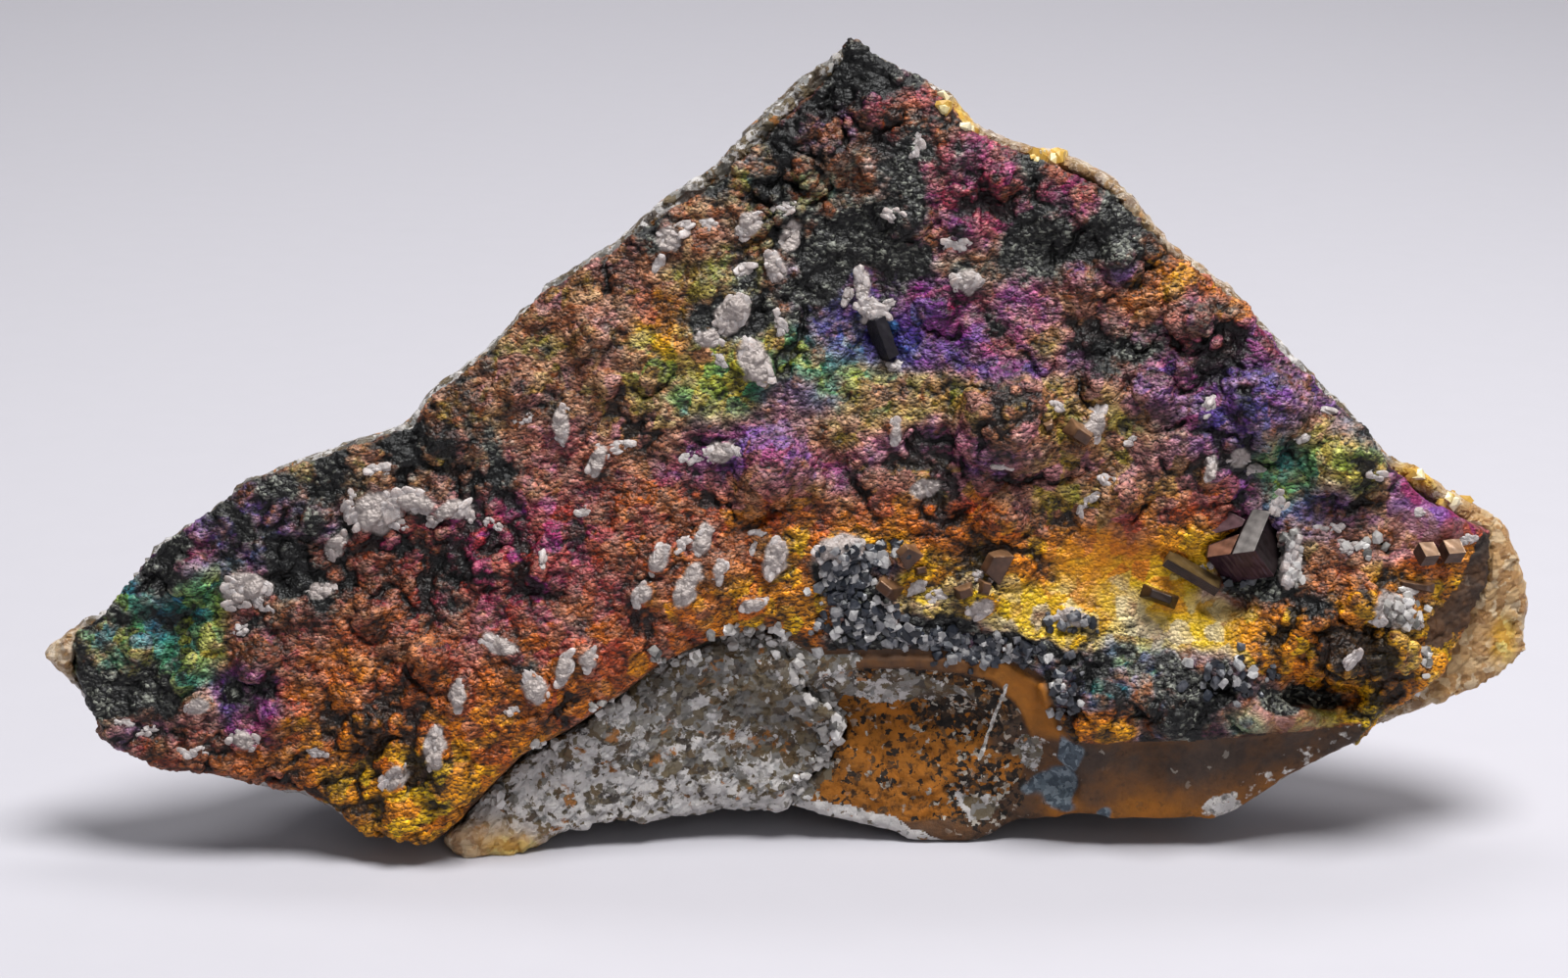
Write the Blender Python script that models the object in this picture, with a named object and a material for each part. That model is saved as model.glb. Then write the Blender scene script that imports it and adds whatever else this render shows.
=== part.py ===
"""Iridescent goethite: a lumpy goethite druse, with a few large crystals, on a broken wedge of quartz.

Every piece is modelled on the plane of the druse: u runs to the right, v up the face and w out of
it, in millimetres. A parent empty leans that plane back and stands the specimen on the floor, z = 0.
"""

import math
import random

import bmesh
import bpy
from mathutils import Matrix, Vector, noise

MM = 0.001

# How the specimen stands.
LEAN = math.radians(15)  # the druse leans back this far from upright
FOOT_DROP = 30.15  # from the middle of the face down to the floor
CENTRE_SHIFT = (-0.397, -9.724)  # brings the middle of the specimen over the origin
GAP = 0.3  # left between two pieces that grew on each other

# The broken sides flare out towards the back by this share for each millimetre of depth.
SIDE_FLARE = 1 / 237
FRONT_W = 14.0
BACK_W = -46.0
FIELD = ((-66.0, -36.0), (66.0, 42.0))  # the low and high corners of every grid on the face
ARCH_FIELD = ((-64.0, -14.0), (64.0, 42.0))
GROUND_SIZE = 160.0

# The crust of goethite.
CRUST_THICK = 3.4
MASSIVE_THICK = 6.5  # where the goethite is solid, below the druse
SWELL_SIZE = 17.0
SWELL_HEIGHT = 1.1
LUMP_SIZE = 4.5
LUMP_HEIGHT = 0.55
LIP_WIDTH = 2.6  # the druse rounds over this wide at its lower edge
LIP_DROP = 2.0

# The broken faces below the druse.
BREAK_SET_BACK = 1.9
QUARTZ_SET_BACK = 1.6
BREAK_SLOPE = 0.30  # they fall back this much for each millimetre down
BREAK_REACH = 12.0
BARE_QUARTZ_END_U = 12.0
RIM_SLOPE = 1.1
BACK_THIN = 4.8  # the least depth of the specimen at its thin edges
DEEPEST = 40.0

# How finely each uneven surface is divided.
CRUST_STEP = 3.25
MATRIX_STEP = 3.7
BED_STEP = 6.5
BACK_STEP = 4.8
ARCH_STEP = 5.6
GRID_WANDER = 0.28  # the share of a step by which a grid's points are moved about

# The underside between the feet.
ARCH_HEIGHT = 2.6
ARCH_ROUGH = 0.9
ARCH_ROUGH_SIZE = 8.0
FOOT_DEPTH = 4.6
FEET = (  # world x, world y, radius in millimetres
    (-24.5, -3.2, 6.5),
    (13.5, -1.5, 6.0),
    (-9.0, 16.5, 8.0),
    (19.0, 13.5, 9.0),
)

# The outline of the whole specimen, clockwise from its left tip: u, v, and how far the pale
# quartz shows beyond the edge of the crust there, or None where the crust ends short of it.
OUTLINE = (
    (-60.3, -13.5, 2.4), (-57.9, -11.3, 0.4), (-54.9, -9.6, 0.3), (-51.2, -4.7, 0.3),
    (-46.7, -1.7, 0.3), (-43.7, 0.8, 0.3), (-35.9, 3.5, 0.4), (-30.4, 5.3, 0.4),
    (-28.9, 7.7, 0.3), (-24.0, 11.4, 0.3), (-19.5, 16.5, 0.4), (-13.4, 20.3, 0.6),
    (-9.7, 23.6, 1.3), (-5.2, 26.5, 1.5), (-1.9, 30.2, 1.6), (2.9, 34.6, 1.6),
    (4.4, 35.3, 0.6), (5.3, 36.8, 0.0), (7.4, 35.4, 0.0), (12.2, 32.8, 0.2),
    (13.4, 32.2, 0.6), (15.7, 29.3, 0.5), (19.6, 27.9, 0.8), (23.3, 27.0, 1.1),
    (26.2, 25.6, 1.2), (28.2, 24.0, 1.2), (31.6, 19.7, 0.8), (35.9, 16.6, 0.4),
    (40.4, 11.8, 0.4), (46.2, 6.1, 0.4), (49.8, 2.0, 0.5), (51.3, 1.9, 1.4),
    (53.7, 0.0, 1.6), (56.2, -1.4, 1.2), (58.6, -3.0, 1.2), (60.1, -6.5, 2.9),
    (60.6, -9.5, 4.4), (60.4, -13.0, None), (59.0, -14.6, None), (57.4, -15.8, None),
    (54.2, -17.2, 2.2), (50.4, -18.2, 0.6), (48.2, -19.0, 0.2), (47.0, -20.6, 0.0),
    (40.4, -23.8, 0.0), (36.7, -26.3, 0.0), (31.8, -28.7, 0.0), (24.9, -29.0, 0.0),
    (17.9, -29.4, 0.0), (14.3, -30.7, 0.0), (12.2, -30.2, 0.0), (9.4, -28.3, 0.0),
    (6.2, -27.3, 0.0), (0.0, -26.9, 0.0), (-6.6, -27.4, None), (-14.7, -29.6, None),
    (-22.3, -30.3, None), (-24.6, -31.1, None), (-27.0, -30.9, None), (-29.5, -29.7, None),
    (-33.8, -28.3, 0.0), (-37.0, -25.7, 0.0), (-39.5, -24.6, 0.0), (-46.1, -23.2, 0.0),
    (-50.6, -22.8, 0.0), (-55.4, -20.6, 0.0), (-56.2, -18.1, 0.0), (-58.7, -14.9, 0.8),
)

# The druse's lower edge, from the left foot to the right end, and where the goethite below it
# meets the bare quartz.
LOWER_EDGE = (
    (-29.5, -29.7), (-26.4, -27.1), (-23.9, -24.3), (-21.4, -21.8), (-17.0, -19.4),
    (-12.9, -16.6), (-10.2, -14.4), (-5.7, -12.3), (-0.8, -11.4), (2.4, -13.3), (10.4, -13.2),
    (18.0, -13.5), (21.4, -15.6), (22.6, -18.9), (24.0, -21.0), (36.1, -20.6), (47.5, -19.4),
)
CONTACT_START = 9  # the contact leaves the lower edge before its tenth point
QUARTZ_CONTACT = ((1.2, -16.1), (5.4, -18.9), (4.0, -22.1), (1.0, -24.5))

# Swells and hollows of the druse's face: u, v, half width, half height, how far it stands out.
SWELLS = (
    (-38.0, -12.0, 13.0, 8.0, 0.9), (-24.0, -18.0, 9.0, 6.0, 1.3), (-12.0, -8.0, 12.0, 6.0, 1.0),
    (-14.0, 8.0, 14.0, 7.0, 0.8), (5.0, 21.0, 8.0, 6.0, -1.3), (11.0, 26.0, 6.0, 6.0, 0.7),
    (22.0, 20.0, 6.0, 5.0, -0.9), (7.5, 12.5, 4.0, 3.5, -1.8), (20.0, 7.0, 7.0, 5.0, 1.4),
    (31.0, 12.0, 5.0, 4.5, -1.4), (37.0, 9.0, 6.0, 5.0, 1.0), (31.0, -9.0, 8.0, 5.0, -1.4),
    (38.0, -6.5, 4.0, 3.0, -1.6), (12.0, -9.0, 8.0, 3.0, -1.0), (47.0, 0.0, 5.0, 4.0, 0.8),
    (45.5, -11.0, 5.0, 4.5, 1.2), (44.2, -16.6, 4.4, 1.9, -4.2), (57.0, -10.0, 5.0, 8.0, -2.6),
    (-52.0, -12.0, 7.0, 6.0, -1.0), (5.5, 35.0, 4.0, 3.5, -0.6),
)

# Grape-like lobes: u, v, radius.
LOBES = (
    (18.0, 5.6, 4.3), (39.2, 6.3, 3.6), (43.2, 4.6, 2.2), (45.8, 2.2, 3.4), (-0.8, 1.5, 3.4),
    (53.6, -2.6, 2.0), (31.4, -18.4, 2.1), (42.0, -18.3, 2.4), (38.6, -18.8, 1.8),
    (27.2, 18.6, 2.0), (24.8, 16.4, 1.8), (33.6, 13.8, 1.9), (30.4, 7.4, 2.3), (25.6, 8.8, 2.0),
    (12.6, 14.8, 1.8), (10.2, 22.0, 1.9), (17.0, 25.2, 1.8), (1.6, 25.6, 1.9), (7.2, 31.6, 1.7),
    (-6.4, 16.8, 1.9), (-15.8, 12.6, 2.0), (-21.4, 8.2, 1.8), (-27.2, 3.6, 1.9),
    (-38.2, -2.6, 2.0), (-48.4, -6.8, 2.1), (-53.0, -13.0, 2.0), (-49.0, -15.2, 1.9),
    (-43.0, -14.4, 2.2), (-33.6, -10.2, 2.0), (-28.4, -13.8, 2.2), (-33.8, -19.4, 2.0),
    (-27.4, -24.0, 2.4), (-31.6, -26.2, 1.8), (-20.6, -6.6, 2.2), (-24.6, -7.2, 1.8),
    (49.4, -13.4, 2.2), (45.8, -13.2, 2.4), (43.2, -11.0, 1.9), (47.0, -9.4, 1.9),
    (22.6, -16.4, 1.9), (26.6, -17.2, 2.0), (27.8, -0.6, 2.0), (17.2, -2.6, 2.2),
)

# Pale tabular crystals on the druse: u, v, length, width, and the turn of the length in degrees.
PALE_CRYSTALS = (
    (-43.9, -8.1, 4.0, 2.4, 0), (-36.5, -4.6, 2.2, 1.4, 60), (-37.8, -8.3, 1.9, 1.3, 10),
    (-33.2, -1.9, 4.0, 3.2, 20), (-30.0, -1.0, 3.2, 1.9, -25), (-27.0, -1.7, 2.8, 1.3, 15),
    (-18.1, 5.2, 2.9, 1.4, 95), (-15.2, 2.3, 2.4, 1.3, 70),
    (-11.6, -8.6, 1.9, 1.4, 60), (-10.1, -5.7, 2.4, 1.6, 65),
    (-6.6, -4.1, 2.4, 1.4, 70), (-7.8, -7.8, 3.8, 1.6, 65), (-5.2, -6.7, 1.8, 1.0, 80),
    (-0.8, -5.7, 3.2, 1.8, 75), (-2.4, -9.4, 2.1, 1.1, 15), (-23.0, -12.6, 2.9, 1.4, -20),
    (-20.2, -16.1, 2.4, 1.8, -60), (-17.8, -14.6, 3.0, 1.3, 70), (-15.8, -13.8, 1.8, 1.2, 75),
    (-26.3, -16.7, 2.4, 1.3, 85), (-28.3, -21.0, 3.4, 1.6, 88), (-31.7, -23.4, 2.1, 1.6, 50),
    (-44.1, -20.5, 2.1, 1.4, -10), (-47.8, -17.7, 1.9, 1.4, 30),
    (-5.2, 3.0, 2.4, 1.6, 20), (-4.2, 14.2, 3.2, 2.4, 55), (-2.4, 10.3, 3.7, 2.4, -60),
    (-6.2, 12.3, 1.8, 1.4, 0), (-0.8, 18.2, 2.4, 1.6, -70), (-2.8, 21.5, 2.2, 1.8, 30),
    (-9.4, 20.3, 1.9, 1.8, 0), (0.5, 20.7, 2.4, 1.6, 75),
    (15.0, 16.9, 1.9, 1.8, 0), (6.4, 16.7, 2.9, 1.1, 100),
    (7.2, 14.7, 2.4, 1.9, -30), (11.6, 0.1, 2.4, 1.4, 25), (9.1, 4.7, 1.9, 1.1, 85),
    (25.4, 5.4, 2.1, 1.6, 80),
    (34.8, 1.7, 2.1, 1.0, 80), (37.2, 2.6, 1.6, 1.3, 0),
    (41.4, -5.7, 4.8, 1.4, 83), (49.6, -9.8, 3.2, 2.4, -40), (16.2, -9.8, 2.1, 1.6, 20),
    (23.6, -10.5, 2.1, 1.4, -15),
)
PALE_THICK = 1.5
PALE_TAPER = 0.72
WEDGE_TAPER = 0.5

# Small brown wedges in the hollow of the druse: u, v, length, width, thickness, turn.
BROWN_WEDGES = (
    (10.0, -5.3, 1.8, 1.3, 2.4, 35), (8.4, -8.1, 2.0, 1.3, 2.2, -35), (17.2, -6.2, 2.6, 1.5, 2.4, 50),
    (14.8, -8.4, 1.6, 1.2, 2.0, 20), (4.6, -5.0, 4.2, 2.4, 2.0, 15), (24.0, 4.4, 2.4, 1.4, 2.0, -35),
    (30.8, -8.8, 3.2, 1.2, 2.0, -20), (16.4, -8.1, 1.4, 1.1, 1.8, 75),
)

# The large dark crystals: nearest corner as u, v and height over the face, then the three edges.
LARGE_CRYSTALS = {
    "block_crystal": ((38.1, -5.0), 3.3, ((1.44, 3.1, -2.31), (-3.4, -0.65, -2.99), (1.9, -2.15, -1.7))),
    "bar_crystal": ((35.6, -8.2), 1.7, ((-4.3, 2.5, 0.2), (-0.35, -0.62, -0.5), (0.45, 0.75, -1.3))),
    "cube_crystal_left": ((51.7, -6.3), 1.7, ((1.3, 0.1, -0.5), (0.1, 0.8, 1.0), (-0.45, 1.1, -0.9))),
    "cube_crystal_right": ((53.8, -6.1), 1.9, ((1.5, 0.1, -0.5), (0.1, 0.8, 1.0), (-0.45, 1.1, -0.9))),
    "prism_crystal": ((8.6, 10.6), 1.3, ((-1.2, 3.2, 0.4), (0.9, 0.35, -0.5), (-0.5, -0.3, -1.6))),
}

# Hollows broken or grown into the goethite: u, v, w and the half sizes the same three ways.
HOLLOWS = (
    (8.8, -20.9, -3.3, 10.6, 4.7, 2.5), (44.3, -17.0, -1.6, 4.3, 1.5, 3.4),
    (35.0, -16.4, 0.2, 3.0, 0.9, 2.6), (21.5, -24.6, -3.9, 3.2, 2.2, 1.4),
    (36.2, -9.6, -1.4, 2.6, 1.2, 1.8),
)

# Small balls strewn over the druse between these limits of u and v.
SMALL_BALLS = 20
SMALL_BALL_RADII = (0.8, 1.5)
SMALL_BALL_MARGIN = 2.2
DRUSE_REACH = ((-54.0, 52.0), (-24.0, 30.0))

# How deep each growth sits in the face, and how far the pale crystals lean.
LOBE_SUNK = 0.22
BALL_SUNK = 0.1
PALE_LIFT = 0.12
PALE_TILT = 14.0
WEDGE_LIFT = 0.3
WEDGE_TILT = 12.0

# Zones where the quartz comes forward beside the crust: u, v, reach, level of its face.
QUARTZ_RIMS = (
    (-61.0, -13.8, 2.6, -1.2), (-6.5, 27.2, 3.0, -1.0), (-1.0, 32.4, 3.2, -1.0),
    (2.6, 35.2, 1.8, -1.2), (24.5, 27.8, 3.4, -0.8), (29.6, 23.0, 3.0, -1.0),
    (53.6, 1.2, 2.6, -2.0), (58.2, -3.0, 3.6, -3.2), (60.0, -9.0, 4.6, -4.4),
    (58.8, -14.6, 4.4, -5.0),
)

# Fracture planes of the back: u, v, depth there, and how fast it deepens to the right and up.
BACK_PLANES = (
    (-25.0, 11.0, 7.0, 0.66, -0.78),
    (25.0, 25.0, 9.0, -0.72, -0.82),
    (-60.0, -13.0, 6.0, 0.78, 0.12),
    (60.0, -9.0, 11.0, -0.78, -0.20),
    (-44.0, -24.0, 8.0, 0.76, 0.50),
    (44.0, -23.0, 10.0, -0.76, 0.45),
    (0.0, -28.0, 31.0, 0.05, -0.16),
    (14.0, -10.0, 27.5, -0.12, -0.24),
)


def new_collection(name):
    made = bpy.data.collections.new(name)
    bpy.context.scene.collection.children.link(made)
    return made


def stone_material(name, colour, roughness, metallic=0.0):
    """A mineral's surface, as one Principled BSDF."""
    made = bpy.data.materials.new(name)
    made.use_nodes = True
    shader = made.node_tree.nodes["Principled BSDF"]
    shader.inputs["Base Color"].default_value = (*colour, 1.0)
    shader.inputs["Roughness"].default_value = roughness
    shader.inputs["Metallic"].default_value = metallic
    made.diffuse_color = (*colour, 1.0)
    return made


def lower_edge_at(u):
    """The height of the druse's lower edge at u, and far below the specimen past its ends."""
    if u < LOWER_EDGE[0][0] or u > LOWER_EDGE[-1][0]:
        return -2.0 * FOOT_DROP
    for (u_1, v_1), (u_2, v_2) in zip(LOWER_EDGE, LOWER_EDGE[1:]):
        if u <= u_2:
            return v_1 + (v_2 - v_1) * (u - u_1) / (u_2 - u_1)
    return LOWER_EDGE[-1][1]


def swell(u, v):
    """The broad form of the druse's face, without its lumps."""
    total = SWELL_HEIGHT * noise.noise(Vector((u / SWELL_SIZE, v / SWELL_SIZE, 0.7)))
    for centre_u, centre_v, half_u, half_v, height in SWELLS:
        reach = ((u - centre_u) / half_u) ** 2 + ((v - centre_v) / half_v) ** 2
        total += height * math.exp(-reach)
    return total


def break_level(u, v):
    """The level of the broken face below the druse, which falls back towards the floor."""
    return -BREAK_SET_BACK + BREAK_SLOPE * max(v - lower_edge_at(u), -BREAK_REACH)


def crust_face(u, v):
    """The outer surface of the goethite: the druse above its lower edge, the broken face below."""
    edge = v - lower_edge_at(u)
    rough = LUMP_HEIGHT * noise.noise(Vector((u / LUMP_SIZE, v / LUMP_SIZE, 3.1)))
    if edge < 0:
        return break_level(u, v) + 0.4 * rough
    lip = max(0.0, 1.0 - edge / LIP_WIDTH)
    return swell(u, v) + rough - LIP_DROP * lip * lip


def crust_bed(u, v):
    """The surface of the quartz under the crust."""
    if v < lower_edge_at(u):
        return break_level(u, v) - MASSIVE_THICK
    return min(0.6 * swell(u, v), 0.5) - CRUST_THICK


def socket_floor(u, v):
    return crust_bed(u, v) - GAP


def facet_sites(seed, count, height, slope):
    """Places on the face that each carry a small flat fracture: u, v, height, slope right, up."""
    scatter = random.Random(seed)
    return [
        (scatter.uniform(-62.0, 62.0), scatter.uniform(-32.0, 38.0), scatter.uniform(-height, height),
         scatter.uniform(-slope, slope), scatter.uniform(-slope, slope))
        for _ in range(count)
    ]


def facets(sites, u, v):
    """The height of the fracture that belongs to the nearest site."""
    nearest = min(sites, key=lambda site: (u - site[0]) ** 2 + (v - site[1]) ** 2)
    return nearest[2] + nearest[3] * (u - nearest[0]) + nearest[4] * (v - nearest[1])


def quartz_face(u, v):
    """The front of the quartz: just behind the crust, and forward where it shows."""
    broken = facets(FRONT_FACETS, u, v)
    level = socket_floor(u, v) - 0.2
    below = lower_edge_at(u) - v
    if below > 0 and u < BARE_QUARTZ_END_U:
        level = -QUARTZ_SET_BACK - BREAK_SLOPE * below + broken
    for centre_u, centre_v, reach, height in QUARTZ_RIMS:
        beyond = max(0.0, math.hypot(u - centre_u, v - centre_v) - reach)
        level = max(level, height - RIM_SLOPE * beyond + 0.5 * broken)
    return level


def quartz_back(u, v):
    """The broken back: a few wide fracture planes with smaller flat ones stepped on them."""
    depth = DEEPEST
    for plane_u, plane_v, depth_there, right, up in BACK_PLANES:
        depth = min(depth, depth_there + right * (u - plane_u) + up * (v - plane_v))
    return -max(BACK_THIN, depth + facets(BACK_FACETS, u, v))


BACK_FACETS = facet_sites(11, 44, 1.7, 0.34)
FRONT_FACETS = facet_sites(12, 150, 0.5, 0.3)


def underside(x, y):
    """The height of the underside above the floor, in world directions, below 0 at the feet."""
    place = Vector((x / ARCH_ROUGH_SIZE, y / ARCH_ROUGH_SIZE, 1.5))
    height = ARCH_HEIGHT + ARCH_ROUGH * noise.noise(place)
    for foot_x, foot_y, radius in FEET:
        beyond = math.hypot(x - foot_x, y - foot_y) / radius
        height -= FOOT_DEPTH * max(0.0, 1.0 - beyond * beyond)
    return height


def face_out(block):
    block.normal_update()
    bmesh.ops.recalc_face_normals(block, faces=block.faces)


def grid_block(low, high, step, end_w, height_at, seed):
    """A closed block from the level end_w to height_at(u, v), over a slightly uneven grid."""
    wander = random.Random(seed)
    across = round((high[0] - low[0]) / step)
    along = round((high[1] - low[1]) / step)
    block = bmesh.new()
    bmesh.ops.create_grid(block, x_segments=across, y_segments=along, size=0.5)
    for vert in block.verts:
        inside = max(abs(vert.co.x), abs(vert.co.y)) < 0.499
        shift = GRID_WANDER * step if inside else 0.0
        u = low[0] + (vert.co.x + 0.5) * (high[0] - low[0]) + wander.uniform(-shift, shift)
        v = low[1] + (vert.co.y + 0.5) * (high[1] - low[1]) + wander.uniform(-shift, shift)
        vert.co = (u, v, height_at(u, v))
    bmesh.ops.triangulate(block, faces=block.faces)
    walls = bmesh.ops.extrude_face_region(block, geom=block.faces[:])
    for element in walls["geom"]:
        if isinstance(element, bmesh.types.BMVert):
            element.co.z = end_w
    face_out(block)
    return block


def crust_outline():
    """The edge of the goethite: the outline moved in, and broken away over the bare quartz."""
    moved = []
    for index, (u, v, shown) in enumerate(OUTLINE):
        if shown is None:
            if (u, v) == LOWER_EDGE[0]:
                moved += [*reversed(QUARTZ_CONTACT), *reversed(LOWER_EDGE[:CONTACT_START])]
            continue
        before = Vector(OUTLINE[index - 1][:2])
        after = Vector(OUTLINE[(index + 1) % len(OUTLINE)][:2])
        along = (after - before).normalized()
        moved.append((u + along.y * shown, v - along.x * shown))
    return moved


def grown(points, distance):
    """A clockwise outline moved out by the distance at each of its points."""
    moved = []
    for index, (u, v) in enumerate(points):
        into = (Vector((u, v)) - Vector(points[index - 1])).normalized()
        out_of = (Vector(points[(index + 1) % len(points)]) - Vector((u, v))).normalized()
        along = (into + out_of).normalized()
        reach = distance / max(0.5, math.sqrt((1.0 + into.dot(out_of)) / 2.0))
        moved.append((u - along.y * reach, v + along.x * reach))
    return moved


def outline_block(points, near=FRONT_W, far=BACK_W):
    """A closed block with this outline at w = 0, its sides flaring out towards the back."""
    block = bmesh.new()
    bmesh.ops.create_circle(block, cap_ends=True, segments=len(points), radius=1.0)
    block.verts.ensure_lookup_table()
    for vert, (u, v) in zip(block.verts, points):
        wide = 1.0 - near * SIDE_FLARE
        vert.co = (u * wide, v * wide, near)
    rear = bmesh.ops.extrude_face_region(block, geom=block.faces[:])
    for element in rear["geom"]:
        if isinstance(element, bmesh.types.BMVert):
            wide = (1.0 - far * SIDE_FLARE) / (1.0 - near * SIDE_FLARE)
            element.co = (element.co.x * wide, element.co.y * wide, far)
    face_out(block)
    return block


def ball(radius, flat, seed):
    """A low, slightly uneven round lump."""
    uneven = random.Random(seed)
    lump = bmesh.new()
    bmesh.ops.create_icosphere(lump, subdivisions=1 if radius < 2.4 else 2, radius=radius)
    for vert in lump.verts:
        vert.co *= uneven.uniform(0.93, 1.07)
    bmesh.ops.scale(lump, vec=(1.0, 1.0, flat), verts=lump.verts)
    turn = Matrix.Rotation(uneven.uniform(0.0, math.tau), 3, "Z")
    bmesh.ops.rotate(lump, matrix=turn, verts=lump.verts)
    return lump


def hollow(half_sizes, seed):
    """An uneven oval to take out of the goethite."""
    uneven = random.Random(seed)
    oval = bmesh.new()
    bmesh.ops.create_icosphere(oval, subdivisions=2, radius=1.0)
    for vert in oval.verts:
        vert.co *= uneven.uniform(0.88, 1.06)
    bmesh.ops.scale(oval, vec=half_sizes, verts=oval.verts)
    return oval


def tablet(length, width, thick, turn, tilt, taper):
    """A flat-faced crystal along its length, narrower towards its outer face."""
    crystal = bmesh.new()
    half_diagonal = math.sqrt(0.5)
    bmesh.ops.create_cone(crystal, cap_ends=True, segments=4, radius1=half_diagonal,
                          radius2=half_diagonal * taper, depth=1.0)
    bmesh.ops.rotate(crystal, matrix=Matrix.Rotation(math.radians(45), 3, "Z"), verts=crystal.verts)
    bmesh.ops.scale(crystal, vec=(length, width, thick), verts=crystal.verts)
    placed = Matrix.Rotation(math.radians(turn), 3, "Z") @ Matrix.Rotation(tilt, 3, "Y")
    bmesh.ops.rotate(crystal, matrix=placed, verts=crystal.verts)
    return crystal


def corner_block(corner, edges):
    """A right-angled crystal from its nearest corner and its three edges."""
    crystal = bmesh.new()
    bmesh.ops.create_cube(crystal, size=1.0)
    bmesh.ops.translate(crystal, vec=(0.5, 0.5, 0.5), verts=crystal.verts)
    frame = Matrix(edges).transposed()
    for vert in crystal.verts:
        vert.co = frame @ vert.co + Vector(corner)
    face_out(crystal)
    return crystal


def shifted(block, u, v, w):
    bmesh.ops.translate(block, vec=(u, v, w), verts=block.verts)
    return block


def add_object(name, block, collection, parent, material=None):
    """The block as an object in metres, on the leaning plane if it has a parent."""
    bmesh.ops.scale(block, vec=(MM, MM, MM), verts=block.verts)
    mesh = bpy.data.meshes.new(name)
    block.to_mesh(mesh)
    block.free()
    made = bpy.data.objects.new(name, mesh)
    made.parent = parent
    collection.objects.link(made)
    if material is None:
        made.display_type = "WIRE"
        made.hide_render = True
    else:
        mesh.materials.append(material)
    return made


def boolean(target, operation, operand):
    """A live Boolean of the target with one object, or with all those of a collection."""
    cut = target.modifiers.new(operation.lower(), "BOOLEAN")
    cut.operation = operation
    cut.solver = "EXACT"
    if isinstance(operand, bpy.types.Collection):
        cut.operand_type = "COLLECTION"
        cut.collection = operand
    else:
        cut.object = operand
    return cut


def on_druse(u, v, margin):
    """True where the point lies on the druse, this far inside its edge."""
    edge = crust_outline()
    if v < lower_edge_at(u) + margin:
        return False
    inside = False
    for (u_1, v_1), (u_2, v_2) in zip(edge, edge[1:] + edge[:1]):
        if math.dist((u, v), (u_1, v_1)) < margin:
            return False
        if (v_1 > v) != (v_2 > v) and u < u_1 + (u_2 - u_1) * (v - v_1) / (v_2 - v_1):
            inside = not inside
    return inside


def grow_lobes(collection, parent):
    for index, (u, v, radius) in enumerate(LOBES):
        lobe = shifted(ball(radius, 0.8, index), u, v, crust_face(u, v) - LOBE_SUNK * radius)
        add_object(f"lobe_{index:02d}", lobe, collection, parent)


def grow_small_balls(collection, parent):
    scatter = random.Random(31)
    made = 0
    while made < SMALL_BALLS:
        u = scatter.uniform(*DRUSE_REACH[0])
        v = scatter.uniform(*DRUSE_REACH[1])
        radius = scatter.uniform(*SMALL_BALL_RADII)
        if not on_druse(u, v, SMALL_BALL_MARGIN):
            continue
        lump = ball(radius, 0.9, len(LOBES) + made)
        shifted(lump, u, v, crust_face(u, v) - BALL_SUNK * radius)
        add_object(f"small_ball_{made:02d}", lump, collection, parent)
        made += 1


def grow_small_crystals(collection, parent):
    """The pale tablets and the brown wedges, which are one with the crust."""
    scatter = random.Random(32)
    for index, (u, v, length, width, turn) in enumerate(PALE_CRYSTALS):
        tilt = math.radians(scatter.uniform(-PALE_TILT, PALE_TILT))
        crystal = tablet(length, width, PALE_THICK, turn, tilt, PALE_TAPER)
        shifted(crystal, u, v, crust_face(u, v) + PALE_LIFT)
        add_object(f"pale_crystal_{index:02d}", crystal, collection, parent)
    for index, (u, v, length, width, thick, turn) in enumerate(BROWN_WEDGES):
        crystal = tablet(length, width, thick, turn, math.radians(WEDGE_TILT), WEDGE_TAPER)
        shifted(crystal, u, v, crust_face(u, v) + WEDGE_LIFT)
        add_object(f"brown_wedge_{index:02d}", crystal, collection, parent)


def square_edges(edges):
    """The three edges made exactly square to each other, at their own lengths."""
    first, second, third = [Vector(edge) for edge in edges]
    second_way = (second - second.project(first)).normalized()
    third_way = first.normalized().cross(second_way)
    if third_way.dot(third) < 0:
        third_way.negate()
    return [first, second_way * second.length, third_way * third.length]


def large_crystal(name, extra):
    """The named crystal, grown by the extra width on every side."""
    (u, v), lift, edges = LARGE_CRYSTALS[name]
    square = square_edges(edges)
    corner = Vector((u, v, crust_face(u, v) + lift))
    for edge in square:
        corner -= edge.normalized() * extra
    return corner_block(corner, [edge + edge.normalized() * 2.0 * extra for edge in square])


def leaning_plane(collection):
    """The empty that every piece is parented to, on the plane of the druse."""
    lean = bpy.data.objects.new("leaning_plane", None)
    lean.rotation_euler.x = math.radians(90) - LEAN
    lean.location = (CENTRE_SHIFT[0] * MM, CENTRE_SHIFT[1] * MM, FOOT_DROP * MM)
    collection.objects.link(lean)
    return lean


def underside_cutters(collection):
    """The uneven arch between the feet, and the floor that cuts each foot flat."""
    arch = grid_block(*ARCH_FIELD, ARCH_STEP, -GROUND_SIZE / 2, underside, 9)
    arch_cut = add_object("underside", arch, collection, None)
    arch_cut.location = (CENTRE_SHIFT[0] * MM, CENTRE_SHIFT[1] * MM, 0.0)
    ground = bmesh.new()
    bmesh.ops.create_cube(ground, size=GROUND_SIZE)
    shifted(ground, 0.0, 0.0, -GROUND_SIZE / 2)
    return arch_cut, add_object("floor", ground, collection, None)


def crust_socket(collection, parent):
    """The space that the crust fills in the quartz, wider than the crust by the gap."""
    socket = grid_block(*FIELD, BED_STEP, FRONT_W + 4.0, socket_floor, 13)
    cut = add_object("crust_socket", socket, collection, parent)
    edge = outline_block(grown(crust_outline(), GAP), FRONT_W + 2.0)
    boolean(cut, "INTERSECT", add_object("socket_edge", edge, collection, parent))
    return cut


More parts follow.
